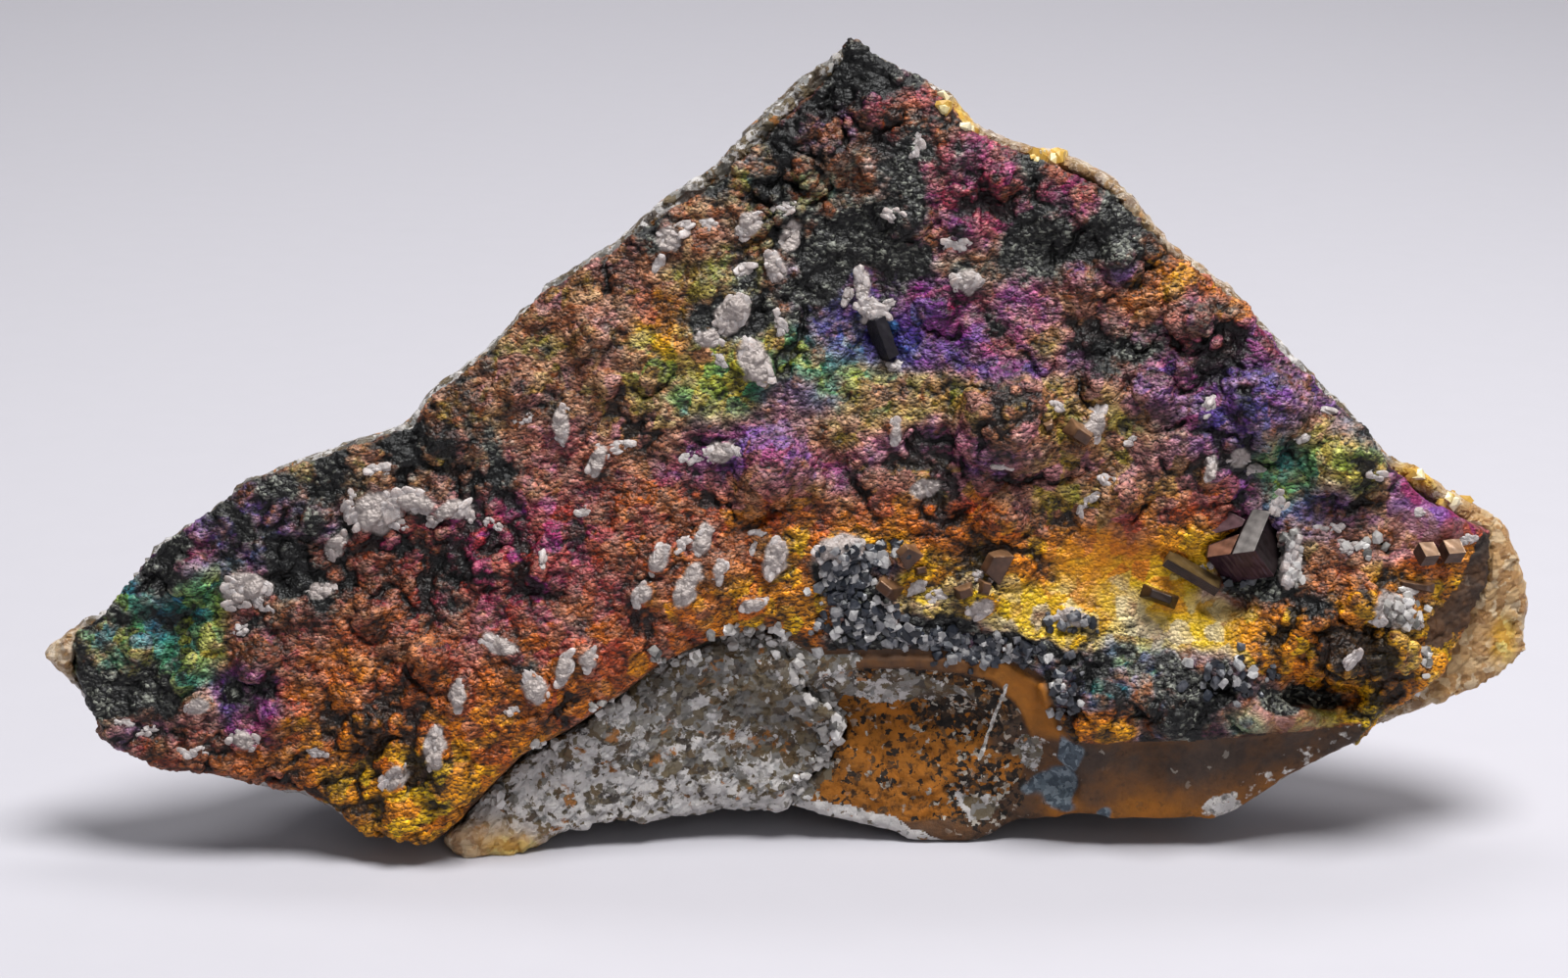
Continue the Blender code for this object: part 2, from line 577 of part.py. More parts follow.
def quartz_matrix(specimen, cutters, parent, sockets, below):
    """The wedge of quartz, broken on every side, with a bed for the crust."""
    quartz = stone_material("pale_quartz", (0.62, 0.57, 0.50), 0.55)
    front = grid_block(*FIELD, MATRIX_STEP, BACK_W - 4.0, quartz_face, 21)
    matrix = add_object("quartz_matrix", front, specimen, parent, quartz)
    whole = outline_block([point[:2] for point in OUTLINE])
    boolean(matrix, "INTERSECT", add_object("whole_outline", whole, cutters, parent))
    back = grid_block(*FIELD, BACK_STEP, FRONT_W + 2.0, quartz_back, 5)
    boolean(matrix, "INTERSECT", add_object("broken_back", back, cutters, parent))
    boolean(matrix, "DIFFERENCE", crust_socket(cutters, parent))
    boolean(matrix, "DIFFERENCE", sockets)
    for cut in below:
        boolean(matrix, "DIFFERENCE", cut)


def goethite_crust(specimen, cutters, parent, sockets, below):
    """The goethite with its growths, hollows and the seats of the large crystals."""
    goethite = stone_material("iridescent_goethite", (0.20, 0.09, 0.045), 0.42, 0.35)
    face = grid_block(*FIELD, CRUST_STEP, BACK_W - 6.0, crust_face, 17)
    crust = add_object("goethite_crust", face, specimen, parent, goethite)
    growths = new_collection("crust_growths")
    grow_lobes(growths, parent)
    grow_small_balls(growths, parent)
    grow_small_crystals(growths, parent)
    boolean(crust, "UNION", growths)
    edge = outline_block(crust_outline())
    boolean(crust, "INTERSECT", add_object("crust_edge", edge, cutters, parent))
    bed = grid_block(*FIELD, BED_STEP, BACK_W - 2.0, crust_bed, 13)
    boolean(crust, "DIFFERENCE", add_object("crust_bed", bed, cutters, parent))
    hollows = new_collection("crust_hollows")
    for index, (u, v, w, *half_sizes) in enumerate(HOLLOWS):
        oval = shifted(hollow(half_sizes, index), u, v, w)
        add_object(f"hollow_{index}", oval, hollows, parent)
    boolean(crust, "DIFFERENCE", hollows)
    boolean(crust, "DIFFERENCE", sockets)
    for cut in below:
        boolean(crust, "DIFFERENCE", cut)


def large_crystals(specimen, sockets, parent):
    """The large dark crystals, and the seats that they stand in."""
    dark = stone_material("dark_goethite_crystal", (0.05, 0.028, 0.022), 0.28, 0.3)
    for name in LARGE_CRYSTALS:
        add_object(name, large_crystal(name, 0.0), specimen, parent, dark)
        add_object(f"{name}_seat", large_crystal(name, GAP), sockets, parent)


def build():
    for old in list(bpy.data.objects):
        bpy.data.objects.remove(old)
    specimen = new_collection("iridescent_goethite")
    cutters = new_collection("cutters")
    sockets = new_collection("crystal_seats")
    parent = leaning_plane(specimen)
    below = underside_cutters(cutters)
    large_crystals(specimen, sockets, parent)
    quartz_matrix(specimen, cutters, parent, sockets, below)
    goethite_crust(specimen, cutters, parent, sockets, below)


build()
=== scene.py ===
"""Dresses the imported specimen: iridescent goethite on quartz, with pale and dark crystals.

Every new piece is shaped on the plane of the druse, where u runs to the right, v up the face and
w out of it, in millimetres. Its mesh is then turned into the frame's metres.
"""

import functools
import itertools
import math
import random

import bmesh
import bpy
import numpy as np
from bpy.props import FloatProperty, FloatVectorProperty, IntProperty, PointerProperty
from mathutils import Matrix, Vector
from mathutils.bvhtree import BVHTree


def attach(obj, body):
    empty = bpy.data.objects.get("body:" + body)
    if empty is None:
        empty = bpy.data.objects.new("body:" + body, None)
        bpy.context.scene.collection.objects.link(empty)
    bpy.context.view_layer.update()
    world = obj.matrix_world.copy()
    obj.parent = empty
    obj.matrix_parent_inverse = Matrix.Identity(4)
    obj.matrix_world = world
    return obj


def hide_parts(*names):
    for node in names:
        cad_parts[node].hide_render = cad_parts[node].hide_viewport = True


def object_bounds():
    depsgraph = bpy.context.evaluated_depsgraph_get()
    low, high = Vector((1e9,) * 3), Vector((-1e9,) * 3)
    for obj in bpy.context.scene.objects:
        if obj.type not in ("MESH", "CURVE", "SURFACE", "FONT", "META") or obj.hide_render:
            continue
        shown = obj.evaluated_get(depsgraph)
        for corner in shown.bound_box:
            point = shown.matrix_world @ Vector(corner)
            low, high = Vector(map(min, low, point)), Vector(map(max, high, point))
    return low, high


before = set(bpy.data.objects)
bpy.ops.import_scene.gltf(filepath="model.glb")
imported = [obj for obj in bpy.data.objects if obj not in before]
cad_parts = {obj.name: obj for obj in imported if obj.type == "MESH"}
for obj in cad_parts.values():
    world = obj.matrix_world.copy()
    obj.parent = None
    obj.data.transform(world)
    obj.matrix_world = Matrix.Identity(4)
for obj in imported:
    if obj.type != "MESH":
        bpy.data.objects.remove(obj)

bl_info = {
    "name": "Iridescent goethite specimen",
    "version": (1, 0, 0),
    "blender": (4, 5, 0),
    "location": "View3D > Sidebar > Specimen",
    "description": "Builds the visible surfaces of a specimen of iridescent goethite on quartz",
    "category": "Add Mesh",
}

CAD_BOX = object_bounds()
MM = 0.001
LEAN = math.radians(15)  # the druse leans back this far from upright
FACE_MIDDLE = (-0.000397, -0.009724, 0.03015)  # the middle of the face, in the frame's metres
UPRIGHT = Matrix.Rotation(math.radians(90) - LEAN, 4, "X")
FACE = Matrix.Translation(FACE_MIDDLE) @ UPRIGHT @ Matrix.Scale(MM, 4)
FAR_BELOW = -90.0  # millimetres
MERGE = 1e-4  # millimetres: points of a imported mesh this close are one
FLOOR_CLEAR = 0.00003  # metres that the pieces keep above the floor
QUARTZ_IOR = 1.544

# The druse's lower edge, from the left foot to the right end: u and v.
LOWER_EDGE = (
    (-29.5, -29.7), (-26.4, -27.1), (-23.9, -24.3), (-21.4, -21.8), (-17.0, -19.4),
    (-12.9, -16.6), (-10.2, -14.4), (-5.7, -12.3), (-0.8, -11.4), (2.4, -13.3), (10.4, -13.2),
    (18.0, -13.5), (21.4, -15.6), (22.6, -18.9), (24.0, -21.0), (36.1, -20.6), (47.5, -19.4),
)

# The colours of the interference film, from the thinnest to the thickest: thickness and colour.
FILM_COLOURS = (
    (0.00, "#cdbd94"), (0.06, "#d9b42c"), (0.13, "#d68a16"), (0.20, "#bc661a"), (0.28, "#9c4428"),
    (0.36, "#84263a"), (0.44, "#822a66"), (0.52, "#5e3888"), (0.60, "#36367c"), (0.67, "#2c5a90"),
    (0.73, "#2a7a7c"), (0.79, "#3a8050"), (0.85, "#8a9638"), (0.90, "#a88c3c"), (0.95, "#a87458"),
    (1.00, "#a8707a"),
)

# Where the film changes: u, v, half width, half height, thickness, how vivid it is, how black.
FILM_ZONES = (
    (-56.4, -12.5, 2.8, 2.4, 0.82, 0.35, 0.55), (-52.0, -12.1, 4.0, 3.2, 0.76, 0.75, 0.25),
    (-47.6, -8.9, 2.8, 2.0, 0.79, 0.90, 0.10), (-46.8, -11.3, 2.0, 2.0, 0.84, 0.80, 0.10),
    (-54.4, -15.3, 4.0, 2.4, 0.80, 0.20, 0.70), (-50.4, -5.3, 3.2, 2.0, 0.47, 0.60, 0.65),
    (-46.8, -2.9, 3.6, 2.0, 0.58, 0.50, 0.75), (-43.6, -4.9, 3.2, 2.4, 0.64, 0.45, 0.80),
    (-40.0, -1.7, 4.0, 2.4, 0.55, 0.40, 0.80), (-44.8, -0.1, 4.8, 1.6, 0.58, 0.30, 0.80),
    (-37.6, 0.7, 4.8, 2.0, 0.85, 0.20, 0.50), (-44.0, -16.1, 2.4, 1.6, 0.52, 0.80, 0.35),
    (-43.0, -18.9, 1.8, 2.0, 0.43, 0.80, 0.15), (-52.0, -18.9, 4.0, 2.0, 0.97, 0.30, 0.35),
    (-53.2, -20.1, 2.4, 1.2, 0.57, 0.50, 0.40), (-48.0, -21.7, 6.4, 1.6, 0.30, 0.30, 0.20),
    (-40.8, -11.3, 4.0, 4.0, 0.35, 0.20, 0.45), (-37.6, -8.1, 4.0, 3.2, 0.33, 0.20, 0.40),
    (-33.6, -11.3, 5.6, 4.8, 0.27, 0.35, 0.15), (-40.0, -22.5, 4.8, 2.4, 0.24, 0.40, 0.15),
    (-32.0, -16.1, 5.6, 3.2, 0.22, 0.55, 0.10), (-36.0, -22.5, 4.0, 3.2, 0.14, 0.85, 0.05),
    (-28.8, -24.9, 4.8, 3.2, 0.12, 0.95, 0.00), (-28.0, -28.1, 2.4, 1.6, 0.14, 0.80, 0.10),
    (-24.0, -20.9, 4.0, 3.2, 0.19, 0.75, 0.10), (-25.6, -9.7, 4.8, 4.0, 0.35, 0.50, 0.20),
    (-20.8, -4.9, 5.6, 3.2, 0.39, 0.75, 0.20), (-20.4, -2.1, 2.4, 1.0, 0.43, 0.95, 0.00),
    (-16.0, -8.1, 4.8, 4.0, 0.34, 0.60, 0.15), (-16.8, -6.5, 1.6, 0.9, 0.42, 0.90, 0.00),
    (-12.0, -11.3, 4.8, 3.2, 0.25, 0.60, 0.18), (-17.6, -15.3, 4.8, 3.2, 0.23, 0.60, 0.22),
    (-4.8, -9.7, 5.6, 2.4, 0.15, 0.75, 0.20), (-12.8, -4.9, 4.0, 3.2, 0.31, 0.50, 0.20),
    (-6.4, -4.9, 4.8, 3.2, 0.26, 0.50, 0.15), (0.0, -8.1, 4.0, 2.0, 0.13, 0.85, 0.10),
    (4.0, -3.7, 4.0, 1.6, 0.11, 0.95, 0.00), (-19.2, 1.5, 4.8, 2.8, 0.37, 0.40, 0.30),
    (-29.6, 1.5, 5.6, 2.0, 0.95, 0.25, 0.25), (-26.4, 5.5, 4.8, 2.0, 0.93, 0.15, 0.40),
    (-32.0, -4.9, 4.0, 3.2, 0.36, 0.45, 0.20), (-19.2, 7.9, 4.0, 2.4, 0.95, 0.25, 0.35),
    (-14.4, 6.3, 4.0, 3.2, 0.96, 0.30, 0.15), (-16.0, 14.3, 4.0, 3.2, 0.96, 0.30, 0.15),
    (-12.8, 17.5, 3.2, 2.4, 0.97, 0.25, 0.20), (-9.6, 14.3, 2.4, 2.0, 0.20, 0.70, 0.00),
    (-10.8, 12.3, 2.0, 1.0, 0.08, 0.90, 0.00), (-19.2, 11.9, 4.0, 1.6, 0.90, 0.20, 0.60),
    (-8.0, 11.1, 4.0, 2.4, 0.88, 0.75, 0.05), (-3.2, 8.7, 4.0, 2.4, 0.86, 0.75, 0.05),
    (-8.0, 7.9, 3.2, 2.0, 0.80, 0.50, 0.10), (1.6, 10.3, 3.2, 2.4, 0.82, 0.60, 0.10),
    (5.4, 9.7, 1.2, 0.9, 0.83, 0.90, 0.00), (-12.0, 7.9, 3.2, 2.4, 0.93, 0.50, 0.10),
    (-4.8, 18.3, 4.8, 2.4, 0.85, 0.30, 0.60), (-8.0, 20.7, 4.0, 2.0, 0.97, 0.10, 0.45),
    (-4.0, 15.1, 4.8, 2.4, 0.86, 0.40, 0.35), (2.4, 15.9, 4.0, 3.2, 0.60, 0.30, 0.70),
    (0.0, 25.5, 4.8, 3.2, 0.80, 0.15, 0.75), (2.4, 30.3, 4.0, 3.2, 0.50, 0.10, 0.80),
    (5.6, 34.3, 3.2, 2.4, 0.50, 0.05, 0.72), (4.8, 23.9, 3.2, 2.4, 0.75, 0.15, 0.75),
    (10.4, 30.3, 3.2, 2.0, 0.25, 0.40, 0.30), (9.6, 31.5, 2.0, 1.0, 0.42, 0.50, 0.10),
    (12.8, 25.5, 4.8, 3.2, 0.38, 0.60, 0.25), (16.0, 22.3, 4.8, 2.4, 0.40, 0.65, 0.20),
    (22.4, 22.3, 4.0, 3.2, 0.38, 0.60, 0.30), (24.8, 24.7, 4.0, 2.4, 0.37, 0.55, 0.35),
    (28.8, 22.3, 3.2, 2.4, 0.36, 0.20, 0.70), (24.0, 18.3, 4.0, 2.0, 0.50, 0.20, 0.75),
    (16.0, 18.3, 3.2, 1.6, 0.80, 0.10, 0.50), (14.0, 16.7, 3.2, 2.0, 0.45, 0.80, 0.15),
    (9.8, 12.1, 2.0, 1.8, 0.61, 0.95, 0.00), (8.0, 17.5, 2.6, 1.4, 0.57, 0.60, 0.45),
    (5.6, 13.5, 2.4, 2.4, 0.62, 0.80, 0.25), (7.2, 7.3, 3.2, 2.0, 0.86, 0.55, 0.20),
    (1.6, 7.1, 2.4, 1.6, 0.60, 0.60, 0.10), (12.8, 12.7, 2.4, 1.6, 0.55, 0.80, 0.10),
    (18.4, 14.3, 4.8, 2.4, 0.44, 0.60, 0.20), (20.0, 9.9, 4.8, 1.4, 0.52, 0.95, 0.00),
    (12.8, 7.9, 3.2, 1.6, 0.93, 0.40, 0.20), (18.0, 5.5, 4.4, 2.8, 0.93, 0.50, 0.05),
    (14.8, 4.7, 1.0, 2.0, 0.47, 0.90, 0.05), (16.0, 2.7, 3.2, 1.2, 0.50, 0.50, 0.05),
    (4.8, 5.5, 3.2, 2.0, 0.95, 0.40, 0.10), (-0.8, 3.1, 4.8, 2.8, 0.46, 0.60, 0.10),
    (-0.8, 0.7, 4.0, 1.6, 0.97, 0.50, 0.05), (4.0, 2.3, 3.2, 1.6, 0.47, 0.60, 0.10),
    (8.0, -0.1, 4.8, 2.0, 0.95, 0.50, 0.05), (0.0, -1.7, 6.4, 2.0, 0.25, 0.70, 0.05),
    (8.0, -2.5, 4.8, 1.2, 0.22, 0.80, 0.05), (16.0, -3.3, 4.8, 1.6, 0.24, 0.75, 0.05),
    (20.0, -4.9, 4.0, 2.0, 0.14, 0.85, 0.00), (28.0, -4.9, 4.8, 2.4, 0.15, 0.80, 0.00),
    (24.0, -0.9, 4.8, 2.4, 0.95, 0.50, 0.10), (29.6, 1.5, 4.0, 2.4, 0.97, 0.50, 0.10),
    (29.6, -1.7, 4.0, 1.6, 0.32, 0.60, 0.05), (32.8, -7.3, 4.0, 2.4, 0.09, 0.95, 0.00),
    (34.4, -4.9, 2.4, 1.6, 0.12, 0.90, 0.00), (34.8, -12.1, 3.2, 2.0, 0.01, 0.80, 0.00),
    (30.4, -11.3, 3.2, 1.6, 0.02, 0.70, 0.00), (24.0, -9.7, 4.0, 2.0, 0.05, 0.70, 0.05),
    (19.2, -8.9, 4.0, 2.0, 0.05, 0.75, 0.10), (12.8, -8.9, 2.4, 1.6, 0.07, 0.60, 0.15),
    (28.4, -12.9, 2.0, 1.6, 0.73, 0.70, 0.30), (24.8, -15.3, 3.2, 1.6, 0.67, 0.40, 0.50),
    (30.4, -15.3, 3.2, 1.2, 0.70, 0.50, 0.50), (35.2, -15.3, 3.2, 1.6, 0.62, 0.20, 0.60),
    (26.4, -18.9, 2.0, 1.0, 0.16, 0.95, 0.00), (31.4, -18.6, 2.2, 1.8, 0.70, 0.05, 0.85),
    (38.4, -19.3, 2.0, 1.2, 0.76, 0.70, 0.10), (40.8, -18.7, 2.6, 1.4, 0.94, 0.55, 0.00),
    (44.0, -19.2, 2.0, 1.2, 0.88, 0.50, 0.00),
    (45.6, -19.7, 2.0, 0.9, 0.08, 0.70, 0.00), (36.0, -19.7, 1.6, 1.2, 0.45, 0.30, 0.40),
    (40.8, -11.3, 3.2, 2.4, 0.11, 0.70, 0.04), (46.4, -12.1, 4.0, 2.4, 0.15, 0.70, 0.00),
    (47.0, -14.4, 3.6, 2.0, 0.13, 0.75, 0.00),
    (50.4, -12.0, 3.2, 3.2, 0.10, 0.60, 0.00), (44.0, -8.9, 3.2, 1.6, 0.25, 0.50, 0.25),
    (38.4, -8.1, 2.8, 1.6, 0.60, 0.20, 0.80), (35.2, 6.3, 4.8, 3.2, 0.52, 0.70, 0.20),
    (39.2, 6.3, 3.2, 2.4, 0.58, 0.40, 0.10), (32.0, 7.9, 3.2, 3.2, 0.48, 0.60, 0.30),
    (33.6, 13.5, 4.0, 3.2, 0.46, 0.60, 0.25), (30.4, 16.7, 4.0, 3.2, 0.15, 0.50, 0.20),
    (27.4, 18.5, 1.0, 0.9, 0.55, 0.90, 0.00), (36.0, 15.9, 3.2, 3.2, 0.17, 0.45, 0.35),
    (39.2, 12.7, 2.4, 2.4, 0.44, 0.65, 0.20), (43.2, 7.9, 2.4, 1.6, 0.50, 0.40, 0.40),
    (43.2, 4.7, 2.4, 1.6, 0.93, 0.50, 0.10), (41.6, 1.5, 3.2, 2.4, 0.77, 0.70, 0.10),
    (45.6, 2.3, 3.2, 2.0, 0.84, 0.70, 0.10), (47.2, 4.7, 2.0, 1.2, 0.65, 0.40, 0.30),
    (48.0, 0.7, 1.6, 1.2, 0.93, 0.40, 0.15), (49.6, 1.5, 1.6, 1.2, 0.47, 0.70, 0.20),
    (41.6, -1.7, 2.4, 1.6, 0.62, 0.50, 0.15), (48.0, -3.3, 4.0, 2.4, 0.97, 0.25, 0.10),
    (45.0, -1.3, 2.6, 1.6, 0.54, 0.35, 0.00),
    (51.2, -0.9, 3.2, 2.2, 0.47, 0.80, 0.00), (55.2, -1.3, 2.4, 1.2, 0.45, 0.90, 0.00),
    (54.4, -3.7, 3.2, 1.0, 0.35, 0.70, 0.05), (53.6, -6.1, 3.2, 1.2, 0.22, 0.80, 0.05),
    (55.2, -8.1, 2.0, 0.8, 0.10, 0.60, 0.05), (52.0, -9.7, 2.4, 2.4, 0.15, 0.50, 0.20),
    (36.8, -0.1, 2.4, 1.2, 0.47, 0.60, 0.20), (32.0, -2.5, 2.4, 1.2, 0.26, 0.75, 0.05),
    (26.4, 6.3, 4.0, 2.4, 0.93, 0.40, 0.20), (30.4, 4.7, 2.4, 2.4, 0.92, 0.40, 0.15),
    (24.0, 11.9, 4.0, 2.4, 0.95, 0.30, 0.20), (28.0, 11.9, 3.2, 2.4, 0.45, 0.20, 0.50),
    # The rows at u 42.3 and 45.2, v -17.0, paint near-black shade into the hollow there, and the row at u
    # 37.6, v -8.4 paints it into the hollow below the block crystal.
    (12.8, 3.9, 2.4, 1.6, 0.47, 0.60, 0.20), (42.3, -17.0, 2.0, 1.0, 0.20, 0.10, 1.60),
    (45.2, -17.0, 1.2, 0.8, 0.20, 0.10, 1.60), (35.0, -16.4, 2.4, 0.8, 0.45, 0.10, 1.30),
    (37.6, -8.4, 1.8, 1.1, 0.60, 0.10, 1.20), (5.2, -7.2, 2.2, 2.2, 0.64, 0.20, 0.95),
    (9.6, -11.8, 3.6, 0.8, 0.64, 0.20, 0.80), (17.4, -13.3, 4.6, 0.6, 0.64, 0.20, 0.80),
    (20.0, 20.0, 2.6, 1.4, 0.50, 0.10, 0.95), (9.6, 21.0, 2.2, 2.6, 0.50, 0.10, 0.90),
    (25.2, 20.4, 2.2, 2.0, 0.50, 0.10, 0.95), (13.4, 21.4, 1.2, 1.2, 0.50, 0.10, 0.95),
)


def linear(code, alpha=1.0):
    """An sRGB hex colour as linear red, green, blue and alpha."""
    channels = [int(code[place:place + 2], 16) / 255 for place in (1, 3, 5)]
    return (*[c / 12.92 if c <= 0.04045 else ((c + 0.055) / 1.055) ** 2.4 for c in channels], alpha)


def connect(node, sources):
    """Links sockets of a node to outputs. A source that is a node stands for its first output."""
    for name, source in sources.items():
        if isinstance(source, bpy.types.Node):
            source = next(output for output in source.outputs if output.enabled)
        node.id_data.links.new(source, node.inputs[name])


def add_node(tree, kind, sockets=None, stops=None, **settings):
    """A node with its settings, each socket's value or the source it is linked to, and a ramp's stops."""
    made = tree.nodes.new("ShaderNode" + kind)
    for name, value in settings.items():
        setattr(made, name, value)
    for name, value in (sockets or {}).items():
        if isinstance(value, (bpy.types.Node, bpy.types.NodeSocket)):
            connect(made, {name: value})
        else:
            made.inputs[name].default_value = value
    if stops:
        ramp = made.color_ramp.elements
        while len(ramp) < len(stops):
            ramp.new(0.5)
        for element, (place, colour) in zip(ramp, stops):
            element.position = place
            element.color = linear(colour)
    return made


def new_material(name):
    """A material, what adds nodes to it, its shader, and each point's place on the piece."""
    made = bpy.data.materials.new(name)
    made.use_nodes = True
    add = functools.partial(add_node, made.node_tree)
    return made, add, made.node_tree.nodes["Principled BSDF"], add("TexCoord").outputs["Object"]


def lattice_random(cells, seed):
    """A repeatable number from 0 to 1 for each cell of a lattice."""
    x, y, z = (cells[:, axis].astype(np.uint32) for axis in range(3))
    mixed = x * np.uint32(374761393) + y * np.uint32(668265263) + z * np.uint32(2246822519)
    mixed += np.uint32(seed * 3266489917 % 4294967296)
    mixed = (mixed ^ (mixed >> np.uint32(15))) * np.uint32(2246822519)
    mixed = (mixed ^ (mixed >> np.uint32(13))) * np.uint32(3266489917)
    return ((mixed ^ (mixed >> np.uint32(16))).astype(np.float32)) / np.float32(4294967295)


def smooth_noise(points, size, seed):
    """Noise from -1 to 1 whose swells are about this size."""
    place = points / size
    low = np.floor(place).astype(np.int64)
    part = place - low
    part = part * part * (3 - 2 * part)
    total = np.zeros(len(points), np.float32)
    for corner in itertools.product((0, 1), repeat=3):
        weight = np.prod(np.where(np.array(corner) == 1, part, 1 - part), axis=1)
        total += weight * lattice_random(low + np.array(corner), seed)
    return 2 * total - 1


def rough_noise(points, size, seed, layers=3):
    """Smooth noise with finer layers added, still about -1 to 1."""
    total = sum(smooth_noise(points, size / 2.1**layer, seed + layer) / 2**layer for layer in range(layers))
    return total / 1.5


def warped_by(points, size, seed):
    """A random way to go from each point, about 1 long and smooth over this size."""
    return np.stack([smooth_noise(points, size, seed + axis) for axis in range(3)], axis=1)


def grains(points, size, seed):
    """The grain that holds each point: how far its middle is, how far the next one is, both in
    grain sizes, its cell, and the way from its middle to the point."""
    place = points / size
    low = np.floor(place).astype(np.int64)
    nearest = np.full(len(points), 9.0, np.float32)
    second = nearest.copy()
    own_cell = low.copy()
    offset = np.zeros_like(place)
    for step in itertools.product((-1, 0, 1), repeat=3):
        cell = low + np.array(step)
        middle = cell + np.stack([lattice_random(cell, seed + axis) for axis in range(3)], axis=1)
        way = place - middle
        gap = np.sqrt((way * way).sum(axis=1)).astype(np.float32)
        closer = gap < nearest
        second = np.where(closer, nearest, np.minimum(second, gap))
        nearest = np.where(closer, gap, nearest)
        own_cell[closer] = cell[closer]
        offset[closer] = way[closer]
    return nearest, second, own_cell, offset


def between(low, high, values):
    """0 below low, 1 above high and smooth between them."""
    part = np.clip((values - low) / (high - low), 0, 1)
    return part * part * (3 - 2 * part)


def inside(points, u, v, half_u, half_v):
    """1 in the middle of an oval on the face, fading to 0 past its edge."""
    reach = ((points[:, 0] - u) / half_u) ** 2 + ((points[:, 1] - v) / half_v) ** 2
    return np.exp(-reach * reach)


def vertex_values(mesh, what="co"):
    """The places of a mesh's points, or their normals, as rows of three."""
    values = np.empty(len(mesh.vertices) * 3, np.float32)
    if what == "normal":
        mesh.vertex_normals.foreach_get("vector", values)
    else:
        mesh.vertices.foreach_get(what, values)
    return values.reshape(-1, 3)


def move_to(mesh, points):
    """Puts the mesh's points at these places."""
    mesh.vertices.foreach_set("co", points.astype(np.float32).ravel())
    mesh.update()


def store(mesh, name, values):
    """Keeps one number, or one colour, for each vertex as a named attribute."""
    kind = "FLOAT" if values.ndim == 1 else "FLOAT_COLOR"
    made = mesh.attributes.new(name, kind, "POINT")
    made.data.foreach_set("value" if values.ndim == 1 else "color", values.astype(np.float32).ravel())


def node_block(name):
    """A CAD node's mesh on the face's plane, with its loose triangles merged."""
    block = bmesh.new()
    block.from_mesh(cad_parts[name].data)
    bmesh.ops.transform(block, matrix=FACE.inverted(), verts=block.verts)
    bmesh.ops.remove_doubles(block, verts=block.verts, dist=MERGE)
    return block


def even_block(block, voxel):
    """The block as even small squares of about this size."""
    mesh = bpy.data.meshes.new("work")
    block.to_mesh(mesh)
    block.free()
    work = bpy.data.objects.new("work", mesh)
    bpy.context.scene.collection.objects.link(work)
    remesh = work.modifiers.new("Remesh", "REMESH")
    remesh.mode = "VOXEL"
    remesh.voxel_size = voxel
    graph = bpy.context.evaluated_depsgraph_get()
    made = bpy.data.meshes.new_from_object(work.evaluated_get(graph))
    bpy.data.objects.remove(work)
    bpy.data.meshes.remove(mesh)
    even = bmesh.new()
    even.from_mesh(made)
    bpy.data.meshes.remove(made)
    return even


def finer_where(block, wanted, cuts):
    """Divides each edge of the faces that wanted(middle, normal) picks by the number of cuts."""
    block.normal_update()
    edges = {edge for face in block.faces if wanted(face.calc_center_median(),
                                                    face.normal) for edge in face.edges}
    bmesh.ops.subdivide_edges(block, edges=list(edges), cuts=cuts, use_grid_fill=True)


def smoothed(block, times):
    """Rounds the block's corners a little, as many times as asked."""
    for _ in range(times):
        bmesh.ops.smooth_vert(block, verts=block.verts, factor=0.5,
                              use_axis_x=True, use_axis_y=True, use_axis_z=True)


def as_mesh(block, name):
    """The block as a mesh of this name. The block is freed."""
    mesh = bpy.data.meshes.new(name)
    block.to_mesh(mesh)
    block.free()
    return mesh


def append_to(whole, block):
    """Adds a small block to a large one and frees it."""
    mesh = as_mesh(block, "part")
    whole.from_mesh(mesh)
    bpy.data.meshes.remove(mesh)


def cut_to(block, low_u, high_u):
    """The part of a closed block between two values of u, closed again where it was cut."""
    for limit, way in ((low_u, -1.0), (high_u, 1.0)):
        if limit is None:
            continue
        geometry = [*block.verts, *block.edges, *block.faces]
        cut = bmesh.ops.bisect_plane(block, geom=geometry, plane_co=(limit, 0, 0), plane_no=(way, 0, 0),
                                     clear_outer=True)
        rim = [element for element in cut["geom_cut"] if isinstance(element, bmesh.types.BMEdge)]
        for edge in rim:
            edge.smooth = False
        cap = bmesh.ops.holes_fill(block, edges=rim, sides=0)
        bmesh.ops.triangulate(block, faces=cap["faces"])
    return block


def add_piece(name, mesh, materials, replaced=()):
    """The finished mesh as a piece that rides on the specimen, in the frame's metres."""
    mesh.transform(FACE)
    points = vertex_values(mesh)
    points = np.clip(points, (*CAD_BOX[0][:2], FLOOR_CLEAR), CAD_BOX[1])
    move_to(mesh, points)
    mesh.name = name
    piece = bpy.data.objects.new(name, mesh)
    bpy.context.scene.collection.objects.link(piece)
    for material in materials:
        mesh.materials.append(material)
    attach(piece, "root")
    if replaced:
        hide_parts(*replaced)


def lower_edge_at(u):
    """The height of the druse's lower edge at u, and far below the specimen past its ends."""
    return np.interp(u, *zip(*LOWER_EDGE), left=FAR_BELOW, right=FAR_BELOW)


def line_at(line, place):
    """The second value at this place on a line, which is given as pairs of values."""
    return np.interp(place, *zip(*line))


def strongest(points, ovals):
    """The strongest of some ovals: u, v, half width, half height and strength of each."""
    return np.maximum.reduce([strength * inside(points, *oval) for *oval, strength in ovals])


LOBE_RISE = 0.13  # how high a lobe stands, in its own radii

